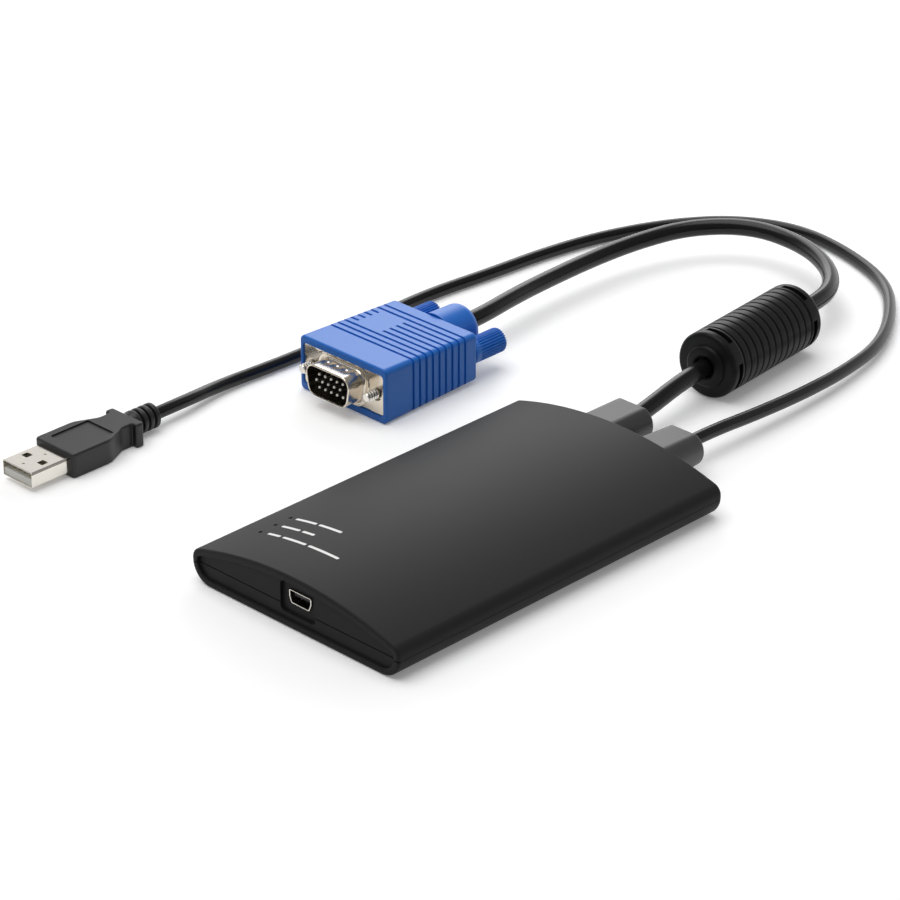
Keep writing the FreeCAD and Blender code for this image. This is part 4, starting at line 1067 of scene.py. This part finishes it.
# Metal face: its plate, and the plate's edge from back to front as rows (inset, y)
FLANGE_Y, PLATE_SHEET, PLATE_SIZE, PLATE_CORNER = 35.8, 0.8, (31.0, 12.1), 1.0
PLATE_EDGE = ((0.0, PLATE_SHEET), (0.0, 0.2), (0.06, 0.06), (0.2, 0.0))
# Drawn shell on the plate, its wall between two ends, its collar as rows (grow, y) and its rolled rim
SHELL_WIDTH, SHELL_HEIGHT, SHELL_CORNER, SHELL_SHEET = 17.8, 9.3, 3.0, 0.45
SHELL_LEAN = math.radians(10.0)
RIM_Y, WALL_ROWS, WALL_START, WALL_END = 29.5, 24, 1.5, 0.4
SHELL_COLLAR = (
    (1.75, 0.0), (1.7, -0.2), (1.55, -0.34), (1.32, -0.38), (1.1, -0.34), (0.9, -0.22),
    (0.7, -0.15), (0.46, -0.18), (0.22, -0.36), (0.07, -0.7), (0.0, -1.3),
)
SHELL_RIM = ((0.0, 0.22), (-0.07, 0.06), (-0.22, 0.0), (-0.38, 0.06), (-SHELL_SHEET, 0.22))
# Three dents in the shell's top: they start at a height over the middle and are full a little above it
DENT_Y, DENT_PITCH, DENT_DEPTH, DENT_SPREAD, DENT_FROM, DENT_FADE = 33.4, 3.6, 0.38, 0.6, 3.0, 0.8
# Contact pins: tip, rear, radius and flat tip, and the spacing of three rows of five
PIN_TIP, PIN_REAR, PIN_RADIUS, PIN_FLAT = 30.2, 46.2, 0.38, 0.04
PIN_PITCH, PIN_ROW, PIN_SHIFT = 2.29, 1.98, 0.57
# Painted shade on the pins: where it begins behind the tip and where it is full, and how dark it paints
# the shaft
PIN_SHADE_SPAN, PIN_PAINTED_SHADE = (0.2, 0.7), 0.04
# Screws: thread, its lead-in, the painted shade in its hollows and off its tip, and neck, collar and shank
# as rows (radius, y)
THREAD_TIP, THREAD_END, THREAD_RADIUS, THREAD_PITCH, THREAD_DEPTH = 31.9, 35.6, 1.42, 0.9, 0.45
THREAD_ROWS, SCREW_POINTS, LEAD_IN, LEAD_IN_DEPTH = 120, 48, 0.5, 0.4
THREAD_SHADE_FADE, TIP_SHADE_FADE, THREAD_PAINTED_SHADE = 0.3, 0.6, 0.06
SHANK = ((1.2, 35.65), (1.2, 37.6), (2.0, 37.6), (2.0, 38.6), (1.6, 38.6), (1.6, 79.3))
# Holes for the screws in the plate and in the hood
JACK_HOLE, JACK_BORE = 2.15, 1.75
# Knobs: front, start of the flutes, end, edge of the collar and round end
KNOB_FRONT, KNOB_FLUTES, KNOB_END, KNOB_EDGE, KNOB_DOME = 71.3, 73.1, 83.8, 0.25, 1.0
# Flutes: number, points and rows of each, run-in, steepness, and their first and last row from both ends
FLUTES, FLUTE_POINTS, FLUTE_ROWS, FLUTE_RUN, FLUTE_STEEP = 28, 10, 14, 0.6, 0.9
FLUTE_FIRST, FLUTE_LAST = 0.2, 1.3


def groove_middles(s):
    """Middles of the hood's grooves along Y."""
    return s.front + s.groove_first + s.groove_pitch * np.arange(HOOD_GROOVES)


def hood_depth(s, loop, normals, y):
    """Depth of the grooves at each row and point: rings with sloping sides, some broken by the pad."""
    away = np.abs(y[:, None] - groove_middles(s))
    sunk = np.clip((s.groove_width / 2 + GROOVE_OUT - away) / GROOVE_SLOPE, 0, 1)
    from_left = loop[:, 0] - PLUG_X + s.width / 2
    on_pad = (normals[:, 1] > PAD_LEVEL) & (from_left > PAD_START) & (from_left < PAD_END)
    number = np.arange(HOOD_GROOVES)
    at_pad = (number >= PAD_FIRST) & (number <= PAD_LAST)
    full, broken = sunk[:, ~at_pad].max(axis=1), sunk[:, at_pad].max(axis=1)
    return s.groove_depth * np.maximum(full[:, None], broken[:, None] * ~on_pad)


def hood_rows(s):
    """Places of the hood's rows along Y, with close rows at each groove's edges."""
    edge = np.array((0.0, 0.5, 1.0)) * GROOVE_SLOPE - GROOVE_OUT - s.groove_width / 2
    return np.sort((groove_middles(s)[:, None] + np.concatenate([edge, -edge])).ravel())


def hood_taper(s, y):
    """Share of the front section's width and height that is left at each place along Y."""
    share = np.clip((y - s.front) / s.long, 0, 1)[:, None]
    return 1 - share * (1 - np.array((s.rear_width / s.width, s.rear_height / s.height)))


class ADAPTER_OT_hood(bpy.types.Operator):
    """Build the grooved blue hood with its cable boot"""

    bl_idname = "adapter.hood"
    bl_label = "Build hood"

    def execute(self, context):
        s = sizes("adapter_video_plug")
        rear = s.front + s.long
        middle = np.array((PLUG_X, PLUG_Z))
        loop = even_loop(rounded_loop(box_corners(*middle, s.width, s.height), s.corner), PLUG_POINTS)
        normals = outward(loop)
        angles = np.arctan2(*(loop - middle).T[::-1])
        pocket = rounded_loop(box_corners(*middle, *POCKET_SIZE), POCKET_CORNER)
        pocket = polar_loop(pocket, middle, angles)
        grooves = hood_rows(s)
        front, back = round_rows(s.front, -1, s.edge)[::-1], round_rows(rear, 1, s.edge)
        plain = np.concatenate([front[:, 0], grooves, back[:, 0]])
        inset = np.concatenate([front[:, 1], np.zeros(len(grooves)), back[:, 1]])
        depth = inset[:, None] + hood_depth(s, loop, normals, plain)
        sides = middle + (loop - middle) * hood_taper(s, plain)[:, None] - depth[..., None] * normals
        fillet = round_rows(rear, -1, HOOD_BOOT_FILLET, 5)[::-1]
        tip = round_rows(HOOD_BOOT_Y, 1, HOOD_BOOT_EDGE, 8)
        radius = np.concatenate([HOOD_BOOT_ROOT + fillet[:, 1], HOOD_BOOT_END - tip[:, 1]])
        boot = middle + (0, HOOD_BOOT_LIFT) + radius[:, None, None] * circle(angles)
        loops = np.concatenate([[pocket, pocket], sides, boot])
        places = np.concatenate([[POCKET_Y, s.front], plain, fillet[:, 0], tip[:, 0]])
        hood = raw_object("video_hood_moulding", [closed(along_y(loops, places))])
        carve(hood, [rod(x, PLUG_Z, JACK_BORE, s.front - PAST, rear + PAST) for x in JACKS.values()])
        settle(hood, finish("blue vinyl"), ["video_hood"], angle=40.0)
        return {"FINISHED"}


def shell_corners(grow):
    """Trapezoid of the plug's shell, wide side up, drawn out by grow."""
    slope = math.tan(SHELL_LEAN)
    half = SHELL_HEIGHT / 2 + grow
    top = SHELL_WIDTH / 2 + grow * (1 + slope)
    foot = top - 2 * half * slope
    across, up = np.array((-foot, foot, top, -top)), np.array((-half, -half, half, half))
    return np.stack([PLUG_X + across, PLUG_Z + up], axis=1)


def dimples(points):
    """Three round dents in the top of the shell, each a bell curve of its distance."""
    x = PLUG_X + DENT_PITCH * np.array((-1.0, 0.0, 1.0))
    away = (points[..., 0, None] - x) ** 2 + (points[..., 1, None] - DENT_Y) ** 2
    dent = DENT_DEPTH * np.exp(-away / (2 * DENT_SPREAD**2)).sum(axis=-1)
    points[..., 2] -= dent * np.clip((points[..., 2] - PLUG_Z - DENT_FROM) / DENT_FADE, 0, 1)
    return points


def drawn_rows():
    """Rows (grow, y) of the drawn shell: raised collar on the plate, wall, rolled rim, inner wall."""
    wall = np.linspace(FLANGE_Y - WALL_START, RIM_Y + WALL_END, WALL_ROWS)
    inner = np.append(wall[::-1], FLANGE_Y + PLATE_SHEET)
    return np.vstack(
        [
            np.array(SHELL_COLLAR) + (0, FLANGE_Y),
            np.stack([np.zeros(len(wall)), wall], axis=1),
            np.array(SHELL_RIM) + (0, RIM_Y),
            np.stack([np.full(len(inner), -SHELL_SHEET), inner], axis=1),
        ]
    )


def face_points():
    """Metal face of the plug as a ring of rows: drawn shell out and in, then the plate's back and edge."""
    middle, angles = np.array((PLUG_X, PLUG_Z)), around(PLUG_POINTS)
    rows, edge = drawn_rows(), np.array(PLATE_EDGE)
    plate = box_corners(*middle, *PLATE_SIZE)
    loops = [rounded_loop(shell_corners(grow), SHELL_CORNER + grow) for grow in rows[:, 0]]
    loops += [rounded_loop(plate, PLATE_CORNER, inset) for inset in edge[:, 0]]
    loops = [polar_loop(loop, middle, angles) for loop in loops]
    return dimples(along_y(loops, np.concatenate([rows[:, 1], FLANGE_Y + edge[:, 1]])))


class ADAPTER_OT_connector(bpy.types.Operator):
    """Build the video plug's metal face and its pins"""

    bl_idname = "adapter.connector"
    bl_label = "Build connector"

    def execute(self, context):
        shell = raw_object("video_front_plate", [closed(face_points(), ring=True)])
        front, rear = FLANGE_Y - PAST, FLANGE_Y + PLATE_SHEET + PAST
        carve(shell, [rod(x, PLUG_Z, JACK_HOLE, front, rear) for x in JACKS.values()])
        settle(shell, finish("warm nickel"), ["video_front_shell"], angle=30.0)

        tip = round_profile(round_rows(PIN_TIP, -1, PIN_RADIUS - PIN_FLAT, 6)[::-1], PIN_RADIUS)
        pin, *faces = closed(turned(np.vstack([tip, (PIN_RADIUS, PIN_REAR)]), number=24))
        row, column = np.divmod(np.arange(15), 5)
        x = PLUG_X + PIN_PITCH * (column - 2) + np.where(row == 1, -PIN_SHIFT, PIN_SHIFT)
        spots = np.stack([x, np.zeros(15), PLUG_Z + PIN_ROW * (row - 1)], axis=1)
        pins = raw_object("video_contact_pins", [(pin + spot, *faces) for spot in spots])
        # The pins carry painted shade along their shafts
        settle(pins, pin_painted_shade(), ["video_pins"])
        return {"FINISHED"}


def screw_points(x):
    """Screw: thread whose depth follows a triangle wave of turn and place, neck, collar, shank."""
    turns = np.linspace(THREAD_TIP, THREAD_END, THREAD_ROWS)
    outer, plain = np.array(SHANK).T
    y = np.concatenate([turns, plain])[:, None]
    core = np.concatenate([np.full(THREAD_ROWS, THREAD_RADIUS), outer])[:, None]
    angle = around(SCREW_POINTS)
    phase = (y / THREAD_PITCH - angle / TURN) % 1.0
    cut = THREAD_DEPTH * np.abs(2 * phase - 1) * (y <= THREAD_END)
    lead_in = np.clip((THREAD_TIP + LEAD_IN - y) / LEAD_IN, 0, 1) * LEAD_IN_DEPTH
    radius = core - np.maximum(cut, lead_in)
    return along_y((x, PLUG_Z) + radius[..., None] * circle(angle), y[:, 0])


def knob_points(s, x):
    """Knob: plain collar, then flutes whose depth is a rounded wave of turn, then a domed end."""
    collar = [(KNOB_FRONT, KNOB_EDGE), (KNOB_FRONT + KNOB_EDGE, 0.0), (KNOB_FLUTES, 0.0)]
    fluted = np.linspace(KNOB_FLUTES + FLUTE_FIRST, KNOB_END - FLUTE_LAST, FLUTE_ROWS)
    fluted = np.stack([fluted, np.zeros(FLUTE_ROWS)], axis=1)
    y, inset = np.vstack([collar, fluted, round_rows(KNOB_END, 1, KNOB_DOME, 8)]).T[..., None]
    angle = around(FLUTES * FLUTE_POINTS)
    wave = np.clip(0.5 - FLUTE_STEEP * np.cos(FLUTES * angle), 0, 1)
    run_in = np.clip((y - KNOB_FLUTES) / FLUTE_RUN, 0, 1)
    radius = s.knob_radius - inset - s.flute_depth * run_in * wave
    return along_y((x, PLUG_Z) + radius[..., None] * circle(angle), y[:, 0])


class ADAPTER_OT_thumbscrews(bpy.types.Operator):
    """Build both thumbscrews"""

    bl_idname = "adapter.thumbscrews"
    bl_label = "Build thumbscrews"

    def execute(self, context):
        s = sizes("adapter_video_plug")
        # The screws' plate carries painted shade in the thread's hollows
        thread = thread_painted_shade()
        for side, x in JACKS.items():
            body = side + "_thumbscrew"
            screw = raw_object(side + "_screw", [closed(screw_points(x))])
            settle(screw, thread, [side + "_jackscrew"], body)
            knob = raw_object(side + "_fluted_knob", [closed(knob_points(s, x))])
            settle(knob, finish("blue vinyl"), [side + "_knob"], body)
        return {"FINISHED"}


# The data plug: middle of its tab, tip of the tab and front of the grip
DATA_X, DATA_Z, TIP_Y, GRIP_Y = -106.85, 3.55, -56.7, -44.1
# Right side of the grip in plan, as (from its middle, along Y), with the radius in each corner
GRIP_SIDE = ((7.8, -44.1), (7.8, -31.0), (4.7, -24.4), (4.7, -20.75), (6.4, -20.75), (6.4, -17.95))
GRIP_CORNERS = (1.2, 6.0, 4.0, 0.3, 0.7, 0.9)
# Bare sunk field in the grip's top
FIELD_Y, FIELD_SIZE, FIELD_CORNER, FIELD_DEPTH = -34.2, (10.5, 13.2), 0.5, 0.35
# Strain relief: height of its axis, radius of its rings and core, rear of each ring, gap between them
RELIEF_Z, RELIEF_RADIUS, RELIEF_CORE = 3.95, 3.6, 2.85
RELIEF_REARS, RELIEF_GAP, RELIEF_EDGE, RELIEF_FLAT = (-15.8, -13.65, -11.5, -9.35), 0.75, 0.35, 0.1
# Its cone as rows (radius over the rings', y from the grip's rear)
RELIEF_CONE = ((-0.5, -0.3), (-0.45, 0.0), (0.0, 0.9))
# Tab: depth in the grip, gap round it, latch windows, two small dents and the fold along its right side
TAB_IN_GRIP, TAB_CORNER, TAB_GAP = 5.5, 0.5, 0.05
WINDOW_X, WINDOW_Y, WINDOW_SIZE = 3.15, -50.6, 2.2
PIT_ROWS, PIT_RADIUS, PIT_DEPTH = (-47.05, -54.5), 0.4, 0.15
FOLD_DROP, FOLD_HEIGHT, FOLD_DEPTH, FOLD_IN_GRIP = 0.5, 0.3, 0.22, 1.0


def grip_loop(inset):
    """Plan of the grip: straight front block, sides drawn in to a neck, ears at the rear."""
    right, corner = np.array(GRIP_SIDE), np.array(GRIP_CORNERS)
    corners = np.vstack([right, right[::-1] * (-1, 1)]) + (DATA_X, 0)
    return rounded_loop(corners, np.concatenate([corner, corner[::-1]]), inset, 9)


def relief_rows():
    """Rows (radius, y) of the strain relief: a cone out of the grip, then rounded rings."""
    rows = [np.array(RELIEF_CONE) + (RELIEF_RADIUS, GRIP_SIDE[-1][1])]
    for rear in RELIEF_REARS:
        rows.append(round_profile(round_rows(rear, 1, RELIEF_EDGE, 5), RELIEF_RADIUS))
        if rear != RELIEF_REARS[-1]:
            front = rear + RELIEF_GAP
            rows.append([(RELIEF_CORE, rear + RELIEF_FLAT), (RELIEF_CORE, front - RELIEF_FLAT)])
            rows.append(round_profile(round_rows(front, -1, RELIEF_EDGE, 5)[::-1], RELIEF_RADIUS))
    return np.vstack(rows)


class ADAPTER_OT_grip(bpy.types.Operator):
    """Build the data plug's grip and strain relief"""

    bl_idname = "adapter.grip"
    bl_label = "Build grip"

    def execute(self, context):
        s = sizes("adapter_data_plug")
        rows = np.vstack([round_rows(0.0, -1, s.edge)[::-1], round_rows(s.height, 1, s.edge)])
        loops = [grip_loop(inset) for inset in rows[:, 1]]
        grip = raw_object("data_grip_moulding", [closed(along_z(loops, rows[:, 0]))])
        field = rounded_loop(box_corners(DATA_X, FIELD_Y, *FIELD_SIZE), FIELD_CORNER)
        field = block(field, s.height - FIELD_DEPTH, s.height + PAST)
        hole = box_corners(DATA_X, DATA_Z, s.tab_width + TAB_GAP, s.tab_height + TAB_GAP)
        carve(grip, [field, prism(rounded_loop(hole, TAB_CORNER), GRIP_Y - PAST, GRIP_Y + TAB_IN_GRIP)])
        settle(grip, finish("grip vinyl"), ["data_plug_grip"])
        relief = raw_object("data_strain_relief", [closed(turned(relief_rows(), DATA_X, RELIEF_Z, 72))])
        settle(relief, finish("grip vinyl"), [])
        return {"FINISHED"}


class ADAPTER_OT_tab(bpy.types.Operator):
    """Build the data plug's metal tab"""

    bl_idname = "adapter.tab"
    bl_label = "Build tab"

    def execute(self, context):
        s = sizes("adapter_data_plug")
        rear = GRIP_Y + TAB_IN_GRIP
        rows = sheet_rows(TIP_Y, rear, rear, s.tab_sheet)
        corners = box_corners(DATA_X, DATA_Z, s.tab_width, s.tab_height)
        loops = [rounded_loop(corners, TAB_CORNER, inset, 8) for inset in rows[:, 1]]
        tab = raw_object("data_tab", [closed(along_y(loops, rows[:, 0]), ring=True)])
        top, side = DATA_Z + s.tab_height / 2, DATA_X + s.tab_width / 2
        cuts = [post(DATA_X, y, PIT_RADIUS, top - PIT_DEPTH, top + PAST, 24) for y in PIT_ROWS]
        for x in (-WINDOW_X, WINDOW_X):
            window = box_corners(DATA_X + x, WINDOW_Y, WINDOW_SIZE, WINDOW_SIZE)
            cuts.append(block(window, -PAST, top + PAST))
        fold = box_corners(side, top - FOLD_DROP, 2 * FOLD_DEPTH, FOLD_HEIGHT)
        cuts.append(prism(fold, TIP_Y - PAST, GRIP_Y + FOLD_IN_GRIP))
        carve(tab, cuts)
        settle(tab, finish("nickel plate"), ["data_plug_shell"])
        return {"FINISHED"}


# The studio: level direction from the camera to what lies behind the object
BEHIND = (-0.70, 0.714, 0.0)
# Where the sky turns bright towards that side, and dim with height
SKY_SIDE, SKY_RISE = (-0.2, 0.8), (0.15, 0.75)
# Direction in which the overhead light shines, and the small light's place, target and size
KEY_WAY = (0.18, 0.12, -1.2)
CARD_PLACE, CARD_TARGET, CARD_SIZE = (-0.29, 0.34, 0.215), (-0.04, 0.05, 0.01), 0.22
# Table: size, and its tone for soft light and where it is looked at
TABLE_SIZE, TABLE_THICK, TABLE_GREY, TABLE_WHITE = 12000.0, 200.0, 0.55, 0.96
WHITE, SENSOR = (1.0, 1.0, 1.0, 1.0), 36.0


def floor_finish(lift):
    """White table that keeps shadows.

    It is white, and a little lighter than its light makes it, where the camera, a mirror or glass
    looks at it, and a pale grey for the soft light that it throws back.
    """
    material = bpy.data.materials.new("white table")
    material.use_nodes = True
    tree = material.node_tree
    shader = tree.nodes["Principled BSDF"].inputs
    shader["Roughness"].default_value = 1.0
    shader["Specular IOR Level"].default_value = 0.0
    shader["Emission Color"].default_value = WHITE
    path = tree.nodes.new("ShaderNodeLightPath").outputs
    seen = maths(tree, "MAXIMUM", path["Is Camera Ray"], path["Is Glossy Ray"])
    seen = maths(tree, "MAXIMUM", seen, path["Is Transmission Ray"])
    tree.links.new(between(tree, seen, TABLE_GREY, TABLE_WHITE), shader["Base Color"])
    tree.links.new(maths(tree, "MULTIPLY", seen, lift), shader["Emission Strength"])
    return material


def world_light(low, high):
    """Soft sky: bright low down behind the object, dim overhead and on the near side.

    The camera sees plain white in its place.
    """
    world = bpy.data.worlds.new("studio sky")
    bpy.context.scene.world = world
    world.use_nodes = True
    tree = world.node_tree
    way = tree.nodes.new("ShaderNodeTexCoord").outputs["Generated"]
    behind = fade(tree, vector_maths(tree, "DOT_PRODUCT", "Value", way, BEHIND), *SKY_SIDE, 0.0, 1.0)
    low_down = fade(tree, part(tree, way, "Z"), *SKY_RISE, 1.0, 0.0)
    level = between(tree, maths(tree, "MULTIPLY", behind, low_down), low, high)
    seen = tree.nodes.new("ShaderNodeLightPath").outputs["Is Camera Ray"]
    sky = tree.nodes["Background"].inputs
    sky["Color"].default_value = WHITE
    tree.links.new(maths(tree, "MAXIMUM", seen, level), sky["Strength"])


def add_light(name, kind, way, **settings):
    """Light that shines along way."""
    lamp = bpy.data.lights.new(name, kind)
    for key, value in settings.items():
        setattr(lamp, key, value)
    stand = bpy.data.objects.new(name, lamp)
    stand.rotation_euler = Vector(way).to_track_quat("-Z", "Y").to_euler()
    bpy.context.scene.collection.objects.link(stand)
    return stand


class ADAPTER_OT_studio(bpy.types.Operator):
    """Set the camera, the light and the table"""

    bl_idname = "adapter.studio"
    bl_label = "Set studio"

    def execute(self, context):
        scene = context.scene
        s = scene.adapter_studio
        flat = math.cos(s.elevation)
        back = Vector(
            (math.sin(s.azimuth) * flat, -math.cos(s.azimuth) * flat, math.sin(s.elevation))
        )
        camera_data = bpy.data.cameras.new("studio camera")
        camera_data.sensor_width = SENSOR
        camera_data.lens = s.lens
        camera = bpy.data.objects.new("studio camera", camera_data)
        camera.location = s.place
        camera.rotation_euler = back.to_track_quat("Z", "Y").to_euler()
        scene.collection.objects.link(camera)
        scene.camera = camera
        scene.view_settings.view_transform = "Standard"
        table = raw_object("table", [block(box_corners(0, 0, TABLE_SIZE, TABLE_SIZE), -TABLE_THICK, 0.0)])
        table.data.materials.append(floor_finish(s.table_lift))
        world_light(s.sky_low, s.sky_high)
        key = add_light("key light", "SUN", KEY_WAY, angle=s.key_spread, energy=s.key)
        card_way = Vector(CARD_TARGET) - Vector(CARD_PLACE)
        card = add_light(
            "card light", "AREA", card_way, shape="SQUARE", size=CARD_SIZE, energy=s.card_power
        )
        card.location = CARD_PLACE
        card.visible_camera = False
        return {"FINISHED"}


STEPS = (
    ADAPTER_OT_studio,
    ADAPTER_OT_leads,
    ADAPTER_OT_boots,
    ADAPTER_OT_ferrite,
    ADAPTER_OT_case,
    ADAPTER_OT_port,
    ADAPTER_OT_print,
    ADAPTER_OT_hood,
    ADAPTER_OT_connector,
    ADAPTER_OT_thumbscrews,
    ADAPTER_OT_grip,
    ADAPTER_OT_tab,
    ADAPTER_OT_inner_parts,
    ADAPTER_OT_declare_leads,
)


class ADAPTER_PT_panel(bpy.types.Panel):
    """Steps and settings of the adapter"""

    bl_idname = "ADAPTER_PT_panel"
    bl_label = "Adapter"
    bl_space_type = "VIEW_3D"
    bl_region_type = "UI"
    bl_category = "Adapter"

    def draw(self, context):
        layout = self.layout
        for step in STEPS:
            layout.operator(step.bl_idname)
        for name, group in SETTINGS.items():
            box = layout.box()
            box.label(text=group.__doc__)
            for key in group.__annotations__:
                box.prop(getattr(context.scene, name), key)


def register():
    for group in SETTINGS.values():
        bpy.utils.register_class(group)
    for name, group in SETTINGS.items():
        setattr(bpy.types.Scene, name, PointerProperty(type=group))
    for step in STEPS:
        bpy.utils.register_class(step)
    bpy.utils.register_class(ADAPTER_PT_panel)


def unregister():
    bpy.utils.unregister_class(ADAPTER_PT_panel)
    for step in reversed(STEPS):
        bpy.utils.unregister_class(step)
    for name in SETTINGS:
        delattr(bpy.types.Scene, name)
    for group in SETTINGS.values():
        bpy.utils.unregister_class(group)


def main():
    register()
    for step in STEPS:
        family, action = step.bl_idname.split(".")
        getattr(getattr(bpy.ops, family), action)()


if __name__ == "__main__":
    main()
